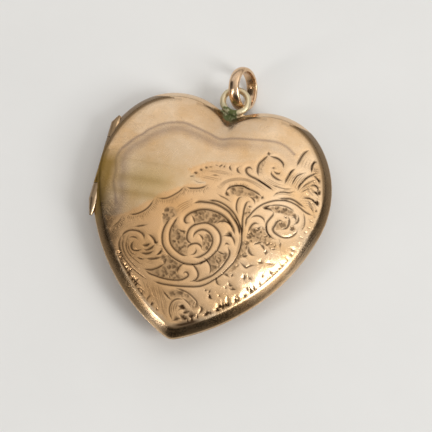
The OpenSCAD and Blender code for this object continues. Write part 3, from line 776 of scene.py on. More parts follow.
FLOWS = [  # how many fine lines lie between two lines, and the two
    (4, [(1.15, 1.9), (1.7, 2.75), (2.6, 3.25), (3.6, 3.45), (4.6, 3.25), (5.6, 2.9), (6.3, 2.6)],
        [(.2, 1.6), (.9, 2.4), (1.6, 3.1), (2.7, 3.65), (3.9, 3.75), (5.1, 3.5), (6.2, 3.1)]),
    (5, [(4.6, 3.9), (5.3, 3.62), (6.1, 3.3), (6.7, 3.05)],
        [(5.4, 4.6), (6.1, 4.35), (6.9, 4.2), (7.7, 4.3)]),
    (6, [(7.55, 4.5), (7.65, 5), (7.8, 5.5), (8.1, 6.1)],
        [(8.8, 4.2), (8.85, 4.75), (9.25, 5.7), (9.8, 6.5)]),
    (3, [(9, 4.15), (9.25, 4.7), (9.75, 5.4), (10.35, 5.9)],
        [(9.35, 3.9), (9.6, 4.3), (10, 4.6), (10.6, 4.55)]),
    (4, [(6.7, 2.75), (7.4, 3.1), (8.1, 3.2), (8.9, 3.15)],
        [(6.9, 3.5), (7.7, 3.75), (8.4, 4), (8.9, 4.1)]),
    (3, [(9.4, 3.2), (9.9, 3.4), (10.4, 3.35), (10.8, 3)],
        [(9.9, 2.6), (10.2, 2.7), (10.6, 2.6), (10.9, 2.3)]),
    (3, [(8.35, 6.9), (8.45, 7.5), (8.7, 8.3)], [(9.45, 6.9), (9.45, 7.4), (9.5, 8)]),
    (3, [(9.85, 6.5), (9.8, 7), (9.85, 7.6)], [(10.5, 6.3), (10.45, 6.8), (10.35, 7.5)]),
    (4, [(-2, -9.55), (-1.5, -10.45), (-1.1, -11.25), (-.75, -12.1)],
        [(-4.2, -9.15), (-3.6, -9.95), (-3.2, -10.6), (-2.9, -10.95)]),
    (4, [(.15, -10.55), (-.2, -10.65), (-.45, -11.2), (-.35, -12)],
        [(.3, -10.75), (.1, -10.8), (-.05, -11.2), (0, -11.7)]),
    (3, [(-6.85, -4.9), (-6.9, -5.6), (-6.65, -6.2), (-6.2, -6.8)],
        [(-6.45, -5.6), (-6.4, -6.1), (-6.1, -6.5), (-5.7, -6.8)]),
    (4, [(-2.1, -1.75), (-1.8, -1.3), (-1.35, -.8), (-.9, -.4)],
        [(-2.9, -1.3), (-2.3, -.6), (-1.6, 0), (-.8, .35)]),
    (3, [(4.1, -1.9), (4.35, -2.6), (4.45, -3.5), (4.3, -4.5)],
        [(4.55, -2.9), (4.68, -3.6), (4.6, -4.4), (4.4, -5.2)]),
    (2, [(-1.3, 2.6), (0, 2.62), (1.2, 2.7)], [(-1.2, 2.95), (0, 3), (1.4, 3.05)]),
    (3, [(-.9, 3.45), (.2, 3.5), (1.6, 3.6)], [(-.3, 3.8), (.8, 3.95), (2.2, 3.9)]),
    (3, [(-3.3, -7.6), (-4.2, -7.5), (-5, -7.35)], [(-3.1, -7.1), (-3.9, -7.15), (-4.8, -7)]),
]
FOLDS = [  # broad soft facets that raise the leaves, cut too clean to hold dirt
    (.7, .05, [(-3.72, -9.78), (-2.87, -10.51), (-1.91, -11.4), (-1.11, -12.2)]),
    (.6, .045, [(-2.71, -9.86), (-1.88, -10.52), (-1.08, -11.31)]),
    (.5, .05, [(-4.34, -10.44), (-3.55, -10.94)]),
    (.5, .06, [(-3.19, -11.31), (-2.62, -11.72)]),
    (.5, .14, [(10.81, 4.92), (11.17, 4.42)]),
    (.6, .13, [(10.15, 3.41), (10.74, 3), (11.06, 2.49)]),
    (.45, .12, [(10.08, 5.73), (10.65, 5.4)]),
    (.5, .11, [(9.6, 4.91), (10.19, 4.48), (10.68, 4.03)]),
    (.4, .1, [(9.71, 7.68), (10.14, 6.73)]),
    (.5, .08, [(7.9, 5.1), (8.3, 5.9), (8.7, 6.5)]),
    (.5, .08, [(9.3, 4.6), (9.8, 5.4), (10.3, 5.9)]),
    (.45, .1, [(9.9, 5), (10.5, 5.3), (10.95, 5)]),
    (.45, .1, [(9.3, 3.5), (9.9, 3.9), (10.5, 3.9)]),
    (.5, .07, [(8.6, 4), (8.9, 5.2), (9.4, 6.1)]),
]
GRAVER_SPREAD, FACE_STEP = 1.35, 0.04
TAPER_RUN, TAPER_END = 0.5, 0.3
chance = np.random.default_rng(7)


def smooth_line(points, step=FACE_STEP):
    """Points close together on a smooth line through the given ones."""
    p = np.array(points, float)
    q = np.vstack([2 * p[0] - p[1], p, 2 * p[-1] - p[-2]])
    line = []
    for a, b, c, d in zip(q, q[1:], q[2:], q[3:]):
        t = np.linspace(0, 1, max(2, int(np.linalg.norm(c - b) / step)), endpoint=False)[:, None]
        curve = 2 * b + (c - a) * t + (2 * a - 5 * b + 4 * c - d) * t ** 2
        line.append(0.5 * (curve + (3 * b - a - 3 * c + d) * t ** 3))
    return np.vstack(line + [p[-1:]])


def graver_cut(points, width, depth, thin_ends=True):
    """One cut as rows of x, y, direction, half width and depth, thinning out towards both ends."""
    line = smooth_line(points)
    way = np.gradient(line, axis=0)
    way /= np.linalg.norm(way, axis=1, keepdims=True) + 1e-9
    run = np.r_[0, np.cumsum(np.linalg.norm(np.diff(line, axis=0), axis=1))]
    from_end = np.minimum(run, run[-1] - run) / min(TAPER_RUN, run[-1] * 0.45 + 1e-6)
    full = np.ones(len(line))
    if thin_ends and run[-1] > 0.2:
        full = np.clip(TAPER_END + (1 - TAPER_END) * from_end, 0, 1)
    return np.column_stack([line, way, full * GRAVER_SPREAD * width / 2, full * depth])


HATCH_W, HATCH_DEPTH, FLOW_W, FLOW_DEPTH = 0.075, 0.036, 0.07, 0.028


def short_cuts(near, far, lean, pitch, points):
    """A band of short fine cuts that stand on a line."""
    line = smooth_line(points, pitch)
    way = np.gradient(line, axis=0)
    way /= np.linalg.norm(way, axis=1, keepdims=True)
    aside = np.column_stack([-way[:, 1], way[:, 0]]) + lean * way
    far = far * chance.uniform(0.6, 1.0, (len(line), 1))
    ends = zip(line + near * aside, line + far * aside)
    return [graver_cut(pair, HATCH_W, HATCH_DEPTH) for pair in ends]


def lines_between(count, a, b):
    """Fine lines that run side by side between two others, none as long as they are."""
    a, b = smooth_line(a, 0.2), smooth_line(b, 0.2)
    b = b[np.linspace(0, len(b) - 1, len(a)).round().astype(int)]
    made = []
    for k in range(count):
        t = (k + 0.5) / count
        start, stop = chance.integers(0, max(1, len(a) // 5), 2)
        made.append(graver_cut(((1 - t) * a + t * b)[start:len(a) - stop:3], FLOW_W, FLOW_DEPTH))
    return made


BORDER_OUT, BORDER_IN, BORDER_LINE = 0.98, 1.65, 1.12  # insets of a notch's two ends and of the line under it
RIGHT_BOLD = ((-12.2, 1.3), (-11, 2.0), (-9.4, 1.7), (-6.5, 0.8), (-3.4, 0.55))  # height, boldness there
RIGHT_FACETS, LEFT_BOLD, LEFT_FACETS, UPPER_BOLD = 1.5, 1.1, 1.6, 0.6
BORDER_W, BORDER_DEPTH = 0.1, 0.04
NOTCH_REACH, NOTCH_SWAY, NOTCH_W, NOTCH_DEPTH = (0.3, 1.0), 0.14, (0.1, 0.2), (0.045, 0.085)
FACET_REACH, FACET_SHIFT, FACET_W, FACET_DEPTH = (0.5, 1.2), 0.1, (0.3, 0.6), (0.05, 0.1)
NOTCH_STEPS = (2, 6)  # how many points of the line lie between two notches, at least and before which number


def border_cuts():
    """Notches along the engraved edge, the lines that they stand on, and the broad facets between them."""
    outer, inner, line = heart_line(BORDER_OUT), heart_line(BORDER_IN), heart_line(BORDER_LINE)
    x, y = line.T
    even = np.ones(len(line))
    right_bold = np.interp(y, *np.transpose(RIGHT_BOLD))
    stretches = (  # which points, boldness of notches and of facets, share with a facet, line under them
        ((x > 0.9) & (y < -3.4), right_bold, np.minimum(right_bold, RIGHT_FACETS), 0.6, True),
        ((x < -1.9) & (y < -6.6), LEFT_BOLD * even, LEFT_FACETS * even, 0.9, True),
        ((x > 9.4) & (y > -3.4) & (y < 7.6), UPPER_BOLD * even, UPPER_BOLD * even, 0.6, False))
    made, facets = [], []
    for stretch, bold, facet_bold, with_facet, lined in stretches:
        picked = np.flatnonzero(stretch)
        if lined:
            made.append(graver_cut(line[picked][::6], BORDER_W, BORDER_DEPTH))
        i = picked[0]
        while i < picked[-1]:
            start, inwards = outer[i], inner[i] - outer[i]
            reach, sway = chance.uniform(*NOTCH_REACH), chance.uniform(-NOTCH_SWAY, NOTCH_SWAY, 2)
            width, depth = chance.uniform(*NOTCH_W), chance.uniform(*NOTCH_DEPTH)
            made.append(graver_cut([start, start + reach * inwards + sway], bold[i] * width, bold[i] * depth))
            if chance.uniform() < with_facet:
                start = start + chance.uniform(-FACET_SHIFT, FACET_SHIFT, 2)
                ends = [start, start + chance.uniform(*FACET_REACH) * inwards + 2 * sway]
                width, depth = chance.uniform(*FACET_W), chance.uniform(*FACET_DEPTH)
                facets.append(graver_cut(ends, width, facet_bold[i] * depth))
            i += int(chance.integers(*NOTCH_STEPS))
    return made, facets


def within(points, loop):
    """Which points lie inside a closed line."""
    x, y = points[:, :1], points[:, 1:2]
    loop = np.array(loop, float)
    (ax, ay), (bx, by) = loop.T, np.roll(loop, -1, 0).T
    level_x = (bx - ax) * (y - ay) / np.where(by == ay, 1e-9, by - ay) + ax
    return (((ay > y) != (by > y)) & (x < level_x)).sum(1) % 2 == 1


def within_any(points, loops):
    return np.any([within(points, loop) for loop in loops], axis=0)


def honeycomb(pitch, x0=-12, x1=12, y0=-14, y1=12):
    """Evenly spaced points over the face, every other row moved half a step."""
    x, y = np.meshgrid(np.arange(x0, x1, pitch), np.arange(y0, y1, pitch * 0.866))
    x[1::2] += pitch / 2
    return np.column_stack([x.ravel(), y.ravel()])


def face_share(points):
    """How far out each point of the face is, nought at the crown, worked back from face_contour."""
    edge = heart_line(BAND_FLARE)
    turn = np.arctan2(edge[:, 1], edge[:, 0])
    order = np.argsort(turn)
    turn, reach = turn[order], np.linalg.norm(edge, axis=1)[order]
    turn = np.r_[turn[-1] - 2 * math.pi, turn, turn[0] + 2 * math.pi]
    reach = np.r_[reach[-1], reach, reach[0]]
    angle, r = np.arctan2(points[:, 1], points[:, 0]), np.hypot(points[:, 0], points[:, 1])
    far, oval = np.interp(angle, turn, reach), CROWN_R * (1 - CROWN_EGG * np.sin(angle))
    share = np.clip(r / far, 0, 1)
    for _ in range(10):
        slope = oval + 4 * (far - oval) * share ** 3
        share = np.clip(share - (oval * share + (far - oval) * share ** 4 - r) / slope, 0, 1)
    return share


def thinned(points, taken, gap):
    """Leaves out the points that crowd those already taken, or each other."""
    def cell(p, dx=0, dy=0):
        c = np.floor(p / gap).astype(np.int64) + [dx, dy]
        return c[:, 0] * 100003 + c[:, 1]
    if len(taken):
        beside = [cell(taken, dx, dy) for dx in (-1, 0, 1) for dy in (-1, 0, 1)]
        points = points[~np.isin(cell(points), np.unique(np.concatenate(beside)))]
    return points[np.unique(cell(points), return_index=True)[1]]


STRIPS = np.arange(-26, 28)  # the face is searched in strips half a millimetre wide
PART, PART_REACH, PART_SLACK = 14, 0.3, 0.03
SINK_SHARE, SINK_REACH, FULL_DIRT_DEPTH = 0.5, 0.17, 0.065


def ploughed(points, cuts):
    """How deep the cuts are at each point, how far it is in a cut, and how the metal sinks beside them."""
    deep, mask, sink = np.zeros((3, len(points)))
    strip = np.floor(points[:, 0] * 2)
    order = np.argsort(strip * 1000 + points[:, 1])
    laid = points[order]
    starts = np.searchsorted(strip[order], STRIPS)
    for cut in cuts:
        for k in range(0, len(cut), PART):
            part = cut[k:k + PART + 1]
            place, way = part[:, :2], part[:, 2:4]
            reach = part[:, 4].max() + PART_REACH
            (x0, y0), (x1, y1) = place.min(0) - reach, place.max(0) + reach
            first, last = (np.clip(np.floor([x0 * 2, x1 * 2]), STRIPS[0], STRIPS[-2]) - STRIPS[0]).astype(int)
            near = []
            for s, e in zip(starts[first:last + 1], starts[first + 1:last + 2]):
                near.append(np.arange(*(s + np.searchsorted(laid[s:e, 1], (y0, y1)))))
            near = np.concatenate(near)
            near = near[(laid[near, 0] > x0) & (laid[near, 0] < x1)]
            if not len(near):
                continue
            away = laid[near][:, None] - place
            along = np.clip((away * way).sum(2), -PART_SLACK, PART_SLACK)
            gap = np.linalg.norm(away - along[..., None] * way, axis=2)
            half, depth = part[gap.argmin(1), 4:].T
            gap = gap.min(1)
            here = order[near]
            dirty = np.clip(1.5 * (1.25 - gap / half), 0, 1) * np.clip(depth / FULL_DIRT_DEPTH, 0.25, 1)
            sunk = SINK_SHARE * depth * np.exp(-(gap / (half + SINK_REACH)) ** 2)
            deep[here] = np.maximum(deep[here], depth * np.clip(1 - gap / half, 0, 1))
            mask[here] = np.maximum(mask[here], dirty)
            sink[here] = np.maximum(sink[here], sunk)
    return deep, mask, sink


DENT_WAVES, DENT_DEPTH = (7.5, 5.6, 4.1, 3.1, 2.3), 0.00045


def dents(points):
    """Slow waves left by the hammer and by wear."""
    z = np.zeros(len(points))
    for wave in DENT_WAVES:
        for _ in range(3):
            turn, start = chance.uniform(0, math.pi), chance.uniform(0, 2 * math.pi)
            along = points @ [math.cos(turn), math.sin(turn)]
            z += DENT_DEPTH * wave * np.sin(2 * math.pi / wave * along + start)
    return z


DARK_REFLECTION_LINE = [  # points of a dark line of painted reflection that runs over the lobes, above the engraving
    (-8.95, -1.85), (-9.35, -.8), (-9.85, .45), (-9.95, 1.7), (-10.3, 2.9), (-10.1, 4), (-9.5, 4.9),
    (-8.9, 5.7), (-8.25, 6.3), (-7.7, 7), (-6.3, 8), (-4.5, 8.5), (-3.2, 8.3), (-1.5, 7.9), (-.3, 7.6),
    (1, 8), (3, 8.4), (5.2, 8.8), (6.5, 8.6), (7.5, 8)]
FIELD = [  # outline of the part of the face that is engraved
    (-.2, 2.1), (-2.4, 1.4), (-4.9, -.4), (-5.2, -.8), (-7.4, -2.7), (-9, -3.4), (-11, -3), (-10, -6),
    (-6, -11), (0, -14), (3, -12.2), (6.5, -9), (9.9, -4.5), (11.2, 0), (11.6, 5), (10.8, 8.4), (8.6, 9.3),
    (7, 7.3), (5, 7.7), (4, 6), (2, 5.1), (-.6, 4.6), (-2.5, 3.2)]
# The painted reflection: a dark line and a broad shade that drops below it; their small depth only gives
# their masks strength
DARK_REFLECTION_W, REFLECTION_SHADE_W, REFLECTION_SHADE_DOWN, REFLECTION_MASK_DEPTH = 0.24, 1.3, 0.8, 0.01
PUNCH_PITCH, PUNCH_JITTER, PUNCH_DRAG, PUNCH_W, PUNCH_DEPTH = 0.36, 0.16, 0.12, (0.08, 0.34), (0.02, 0.08)
MATTED_DEPTH = 0.03
CUT_ROWS = (0, 1, -1, 1.7, -1.7)  # rows of mesh points along a cut, in half widths from its middle
CUT_GAP, MATTED_PITCH, MATTED_GAP = 0.032, 0.065, 0.045  # how close the points of the mesh stand
WORKED_PITCH, WORKED_GAP, PLAIN_PITCH, PLAIN_GAP, LIP_GAP = 0.1, 0.07, 0.2, 0.12, 0.012

# the dark line and the broad shade below it are painted reflection, and set only a colour mask
painted_reflection = graver_cut(DARK_REFLECTION_LINE, DARK_REFLECTION_W, REFLECTION_MASK_DEPTH, False)
below_reflection = [(x + 0.3 * (x < -6) + 0.5 * (x < -9), y - REFLECTION_SHADE_DOWN * (x > -9)) for x, y in DARK_REFLECTION_LINE]
reflection_shade = graver_cut(below_reflection, REFLECTION_SHADE_W, REFLECTION_MASK_DEPTH, False)
cuts = [graver_cut(points, width, depth) for rows in CUTS.values() for width, depth, points in rows]
notches, facets = border_cuts()
facets += [graver_cut(points, width, depth) for width, depth, points in FOLDS]
cuts += [cut for row in HATCHES for cut in short_cuts(*row)]
cuts += [cut for row in FLOWS for cut in lines_between(*row)]
cuts += notches
punches = []
everywhere = honeycomb(PUNCH_PITCH)
for loop in GROUND:
    spots = everywhere[within(everywhere, loop)]
    for spot in spots + chance.uniform(-PUNCH_JITTER, PUNCH_JITTER, spots.shape):
        ends = [spot, spot + chance.uniform(-PUNCH_DRAG, PUNCH_DRAG, 2)]
        width, depth = chance.uniform(*PUNCH_W), chance.uniform(*PUNCH_DEPTH)
        punches.append(graver_cut(ends, width, depth, False))

rows = []
for cut in cuts + facets + [painted_reflection]:
    aside = np.column_stack([-cut[:, 3], cut[:, 2]])
    for offset in CUT_ROWS:
        rows.append((cut[:, :2] + offset * cut[:, 4:5] * aside)[::2])
matted = honeycomb(MATTED_PITCH, -4, 9.8, -13, 3)
worked, plain = honeycomb(WORKED_PITCH), honeycomb(PLAIN_PITCH)
points = thinned(np.vstack(rows), [], CUT_GAP)
points = np.vstack([points, thinned(matted[within_any(matted, GROUND)], points, MATTED_GAP)])
points = np.vstack([points, thinned(worked[within(worked, FIELD)], points, WORKED_GAP)])
points = np.vstack([points, thinned(plain[~within(plain, FIELD)], points, PLAIN_GAP)])
points = points[(np.abs(points[:, 0]) < 12) & (face_share(points) < LIP - LIP_GAP)]


FACES_UP = 0.2


def opened(obj):
    """Takes the plain face off a half, and gives its points, its faces and the lip where the face began."""
    b = bmesh.new()
    b.from_mesh(obj.data)
    lip_z = face_height(LIP) + HAIR
    face = [f for f in b.faces if f.normal.z > FACES_UP and f.calc_center_median().z > lip_z]
    bmesh.ops.delete(b, geom=face, context="FACES")
    b.verts.index_update()
    beside = {}
    for e in b.edges:
        if e.is_boundary:
            v, w = (point.index for point in e.verts)
            beside.setdefault(v, []).append(w)
            beside.setdefault(w, []).append(v)
    lip = [next(iter(beside))]
    while len(lip) < len(beside):
        lip.append(next(v for v in beside[lip[-1]] if len(lip) < 2 or v != lip[-2]))
    shell = [tuple(v.co) for v in b.verts]
    faces = [tuple(v.index for v in f.verts) for f in b.faces]
    b.free()
    return shell, faces, lip


def reflection_line(line, strength):
    """A line of painted reflection, deep enough for its mask to show."""
    return [line * [1, 1, 1, 1, 1, strength]]


# the first two set how strongly the masks of the painted reflection are drawn
REFLECTION_LINE_GAIN, REFLECTION_SHADE_GAIN, DENTS_END, DENTS_FADE = 8, 100, 0.96, 12

cover = half_case(case_outside("engraved_cover", CROWN_Z), (1, 3), (0, 2, 4))
shell, shell_faces, lip = opened(cover)
n = len(lip)
corners = [Vector(shell[i][:2]) for i in lip] + [Vector(p) for p in points]
lip_edges = [(i, (i + 1) % n) for i in range(n)]
flat, _, triangles, source, _, _ = delaunay_2d_cdt(corners, lip_edges, [], 1, 1e-6)
flat = np.array([tuple(p) for p in flat])
deep, cut_mask, sink = ploughed(flat, cuts)
broad, _, _ = ploughed(flat, facets)
pits, pit_mask, _ = ploughed(flat, punches)
_, painted_reflection_mask, _ = ploughed(flat, reflection_line(painted_reflection, REFLECTION_LINE_GAIN))
reflection_shade_mask, _, _ = ploughed(flat, reflection_line(reflection_shade, REFLECTION_SHADE_GAIN))
ground = within_any(flat, GROUND).astype(float)
share = face_share(flat)
level = face_height(share) + dents(flat) * np.clip((DENTS_END - share) * DENTS_FADE, 0, 1)
level -= np.max([deep, sink, ground * MATTED_DEPTH + pits, broad], axis=0)
ids, face_points, face_ids = {}, [], []
for k, origin in enumerate(source):
    if origin and origin[0] < n:
        ids[k] = lip[origin[0]]
    else:
        ids[k] = len(shell) + len(face_points)
        face_points.append((flat[k, 0], flat[k, 1], level[k]))
        face_ids.append(k)
mesh = bpy.data.meshes.new("engraved_cover")
mesh.from_pydata(shell + face_points, [], shell_faces + [tuple(ids[i] for i in t) for t in triangles])
plain_cover = cover.data
cover.data = mesh
bpy.data.meshes.remove(plain_cover)
at = placed(cover, sharp=50)


def on_face(values):
    return np.r_[np.zeros(len(shell)), np.asarray(values, float)[face_ids]]


COVER_GREEN_X, COVER_GREEN_Y, COVER_GREEN_R, COVER_GREEN_UP = -0.3, CLEFT_Y + 0.2, 0.95, 0.75
# a patch of painted shade on the face near the tip
TIP_SHADE_X, TIP_SHADE_Y, TIP_SHADE_SLOPE = 1.3, -12.5, 0.5
TIP_SHADE, TIP_SHADE_LONG, TIP_SHADE_WIDE, TIP_SHADE_DOWN = 1.3, 1.5, 0.3, 0.1
PIT_DIRT, STREAK_SHARE, REFLECTION_LINE_SHARE, REFLECTION_SHADE_SHARE, GREEN_SHARE, WARM_SHADE_FROM = 0.68, 0.6, 0.85, 0.75, 0.7, 0.2
STREAKS = (  # strength, height, slope and half width of each streak of tarnish
    (0.75, 1.35, 0.03, 0.5),
    (0.65, -0.5, 0, 0.4),
    (0.3, 3.1, 0, 0.14))
WARM_SHADE_PATCHES = (  # strength, middle, half width and half height of each patch of painted warm shade
    (0.75, -5.6, -6, 2, 2),
    (0.85, -2.9, -0.9, 2.6, 1.3),
    (0.7, -2.9, -10.1, 1.5, 1.2),
    (0.6, 10.2, 6.6, 0.8, 1.2),
    (0.6, -6.2, -2.7, 1.8, 0.9))
OLIVE = (-6.3, 0.9, 3.4, 2.6)  # middle, half width and half height
# the first colour is the dirt in the cuts, and also the painted shade at the tip
# the last colour is that of the painted reflection
DIRT_AND_TIP_SHADE, TARNISH, REFLECTION_DARK = (0.042, 0.02, 0.008), (0.31, 0.185, 0.035), (0.34, 0.24, 0.18)
# the second tints the engraved field, partly its own warmer tone and partly painted shade; the third is
# painted warm shade
OLIVE_GOLD, FIELD_TONE_AND_SHADE_GOLD, WARM_SHADE_GOLD = (0.62, 0.44, 0.19), (0.79, 0.48, 0.235), (0.62, 0.33, 0.12)
MATTED_GOLD = (0.50, 0.32, 0.17)

x, y, z = at.T
# painted shade near the tip, laid into the same mask as the dirt in the cuts
tip_shade_line = TIP_SHADE_Y + TIP_SHADE_SLOPE * (x - TIP_SHADE_X)
tip_shade = TIP_SHADE * np.exp(-((x - TIP_SHADE_X) / TIP_SHADE_LONG) ** 2 - ((y - tip_shade_line) / TIP_SHADE_WIDE) ** 2)
tip_shade *= z > SEAM_Z + BAND_H - TIP_SHADE_DOWN
from_cleft = np.hypot(x - COVER_GREEN_X, y - COVER_GREEN_Y)
left_edge = falling(x, -9.3, 1.3) * falling(y, 4.6, 2) * rising(y, -4.6, 3)
streaks = sum(dark * np.exp(-((y - height - slope * x) / wide) ** 2) for dark, height, slope, wide in STREAKS)
streaks *= rising(x, -10, 0.8) * falling(x, -3.6, 1.6)
reflection_shaded = on_face(reflection_shade_mask) * np.clip(1.1 - (x + 2) / 9, 0.3, 1)
# painted warm shade over parts of the scrolls and of the leaf at the right edge
warm_shade = sum(strength * patch(at, *place) for strength, *place in WARM_SHADE_PATCHES) - WARM_SHADE_FROM
dirty = on_face(np.maximum(cut_mask, PIT_DIRT * pit_mask))
# dirt in the cuts and punches, with the painted shade near the tip
mark(cover, "cut", np.clip(np.maximum(dirty, tip_shade), 0, 1))
mark(cover, "ground", on_face(ground))
greened = np.clip(1.25 - from_cleft / COVER_GREEN_R, 0, 1) * (z < SEAM_Z + COVER_GREEN_UP)
mark(cover, "green", GREEN_SHARE * greened)
mark(cover, "tarnish", np.clip(left_edge + STREAK_SHARE * streaks, 0, 1))
# painted reflection: a dark line over the lobes and a broad shade below it
mark(cover, "painted_reflection", np.clip(REFLECTION_LINE_SHARE * on_face(painted_reflection_mask) + REFLECTION_SHADE_SHARE * reflection_shaded, 0, 1))
mark(cover, "olive", patch(at, *OLIVE))
# painted warm shade
mark(cover, "warm_shade", np.clip(warm_shade, 0, 1))
# a warmer, darker tint over the engraved field, strongest at the left: partly the metal's own warmer tone,
# partly painted shade
mark(cover, "field_tone_and_shade", on_face(within(flat, FIELD)) * np.clip(1.05 - (x + 3) / 12, 0.12, 1))
# painted shade on the sides and the hinge
mark(cover, "side", shaded_side(at, 1))
cover_gold = gold("engraved_rose_gold", CLEAN_GOLD, WARM_GOLD, 0.18, (
    # mark, tint, strength, added dullness, patches per metre, whether it is a crust that hides the metal
    ("side", SHADE, 0.85, 0.06, 0, False),
    ("olive", OLIVE_GOLD, 0.7, 0.04, 0, False),
    ("field_tone_and_shade", FIELD_TONE_AND_SHADE_GOLD, 0.85, 0.05, 0, False),
    ("warm_shade", WARM_SHADE_GOLD, 0.7, 0.03, 0, False),
    ("painted_reflection", REFLECTION_DARK, 0.8, 0.08, 0, False),
    ("tarnish", TARNISH, 0.85, 0.08, 0, False),
    ("ground", MATTED_GOLD, 0.7, 0.1, 1500.0, False),
    ("cut", DIRT_AND_TIP_SHADE, 0.97, 0.15, 0, False),
    ("green", VERDIGRIS, 1.2, 0.5, 1300.0, True)))
dressed(cover, cover_gold, "cover", "front_cover")


# The closing rim is a plain strip of paler gold bent to the heart and pressed into the back, open at the
# hinge. The cover shuts over it, which keeps the two halves in line and closed without a clasp.
RIM_INSET, RIM_WALL, RIM_END_GAP, RIM_UP, RIM_DOWN, RIM_CORNER = 1.1, 0.35, 0.15, 0.6, 0.62, 0.05
PALE_GOLD, PALE_WARM = (0.84, 0.66, 0.40), (0.78, 0.56, 0.30)


def geometry_tree(name, inputs):
    """An empty tree of geometry nodes with named sizes, its material last."""
    tree = bpy.data.node_groups.new(name, "GeometryNodeTree")
    tree.interface.new_socket("Geometry", in_out="INPUT", socket_type="NodeSocketGeometry")
    for label in inputs:
        tree.interface.new_socket(label, in_out="INPUT", socket_type="NodeSocketFloat")
    tree.interface.new_socket("Metal", in_out="INPUT", socket_type="NodeSocketMaterial")
    tree.interface.new_socket("Geometry", in_out="OUTPUT", socket_type="NodeSocketGeometry")
    return tree, node(tree, "NodeGroupInput").outputs


def swept(tree, given, path, section):
    """Carries a closed section along a path and ends the tree."""
    sweep = node(tree, "GeometryNodeCurveToMesh")
    sweep.inputs["Fill Caps"].default_value = True
    real, metal = node(tree, "GeometryNodeRealizeInstances"), node(tree, "GeometryNodeSetMaterial")
    feed(tree, sweep.inputs["Curve"], path)
    feed(tree, sweep.inputs["Profile Curve"], section)
    feed(tree, real.inputs[0], sweep.outputs[0])
    feed(tree, metal.inputs["Geometry"], real.outputs[0])
    feed(tree, metal.inputs["Material"], given["Metal"])
    feed(tree, node(tree, "NodeGroupOutput").inputs[0], metal.outputs[0])


def grown(name, mesh, tree, metal, **sizes):
    """Runs a tree on a mesh and keeps the plain mesh that it makes."""
    obj = bpy.data.objects.new(name, mesh)
    bpy.context.scene.collection.objects.link(obj)
    m = obj.modifiers.new("make", "NODES")
    m.node_group = tree
    for item in tree.interface.items_tree:
        if item.in_out == "INPUT" and item.name in sizes:
            m[item.identifier] = sizes[item.name]
        elif item.in_out == "INPUT" and item.name == "Metal":
            m[item.identifier] = metal
    finished(obj)
    b = bmesh.new()
    b.from_mesh(obj.data)
    bmesh.ops.remove_doubles(b, verts=b.verts, dist=DOUBLED)
    b.to_mesh(obj.data)
    b.free()
    return obj


strip, given = geometry_tree("bent_strip", ("Width", "Height", "Corner"))
path = node(strip, "GeometryNodeMeshToCurve")
upright = node(strip, "GeometryNodeSetCurveNormal", mode="Z_UP")
section = node(strip, "GeometryNodeCurvePrimitiveQuadrilateral")
softened = node(strip, "GeometryNodeFilletCurve")
feed(strip, path.inputs[0], given["Geometry"])
feed(strip, upright.inputs["Curve"], path.outputs[0])
feed(strip, section.inputs["Width"], given["Width"])
feed(strip, section.inputs["Height"], given["Height"])
feed(strip, softened.inputs["Curve"], section.outputs[0])
feed(strip, softened.inputs["Radius"], given["Corner"])
swept(strip, given, upright.outputs[0], softened.outputs[0])

middle = heart_line(RIM_INSET + RIM_WALL / 2)
right_of_hinge = np.flatnonzero(middle[:, 0] > -HINGE_X + BED_IN + RIM_END_GAP)
last_before_hinge = int(np.argmax(np.diff(right_of_hinge) > 1))
middle = at_level(middle[np.roll(right_of_hinge, -(last_before_hinge + 1))], (RIM_UP - RIM_DOWN) / 2)
bend = bpy.data.meshes.new("closing_rim_path")
bend.from_pydata([tuple(p) for p in middle], [(i, i + 1) for i in range(len(middle) - 1)], [])
pale = gold("pale_gold_strip", PALE_GOLD, PALE_WARM, 0.22)
rim = grown("closing_rim_strip", bend, strip, pale,
            Width=RIM_WALL, Height=RIM_UP + RIM_DOWN, Corner=RIM_CORNER)
placed(rim, sharp=40)
dressed(rim, pale, "back", "closing_rim")


# The hinge pin is a length of pale gold wire pushed through all five knuckles, its ends hidden in the bores.
# It is the metal of the closing rim, a little duller from being drawn through a plate.
pin_gold = gold("drawn_gold_wire", PALE_GOLD, PALE_WARM, 0.26)
for slot in bpy.data.objects["hinge_pin"].material_slots:
    slot.material = pin_gold


# The bail is a loose ring bent from half-round rose gold, flat inside and rounded outside, and closed through
# the eye. It leans back and rests in the eye, free to swing.
BAIL_R, BAIL_W, BAIL_T, BAIL_EDGE_T = 2.38, 1.22, 0.57, 0.22
BAIL_AT, BAIL_TURN, BAIL_LEAN = (0.368, 1.767, -0.50), 2.2, 26.5
HOOP_STEPS, SECTION_STEPS, FLATNESS = 144, 44, 0.45
BAIL_GOLD, BAIL_WARM = (0.87, 0.63, 0.43), (0.70, 0.46, 0.26)

ring, given = geometry_tree("half_round_ring", ("Radius", "Width", "Thickness", "Edge"))
inner_r = maths(ring, "SUBTRACT", given["Radius"], given["Thickness"])
hoop, disc = (node(ring, "GeometryNodeCurvePrimitiveCircle") for _ in range(2))
feed(ring, hoop.inputs["Resolution"], HOOP_STEPS)
feed(ring, hoop.inputs["Radius"], maths(ring, "ADD", inner_r, given["Edge"]))
feed(ring, disc.inputs["Resolution"], SECTION_STEPS)
feed(ring, disc.inputs["Radius"], 1.0)
spot = node(ring, "ShaderNodeSeparateXYZ")
feed(ring, spot.inputs[0], node(ring, "GeometryNodeInputPosition").outputs[0])
outwards = maths(ring, "MAXIMUM", spot.outputs[0], 0.0)
inwards = maths(ring, "MAXIMUM", maths(ring, "MULTIPLY", spot.outputs[0], -1.0), 0.0)
round_side = maths(ring, "MULTIPLY", outwards, maths(ring, "SUBTRACT", given["Thickness"], given["Edge"]))
flat_side = maths(ring, "MULTIPLY", maths(ring, "POWER", inwards, FLATNESS), given["Edge"])
across = maths(ring, "MULTIPLY", spot.outputs[1], maths(ring, "MULTIPLY", given["Width"], 0.5))
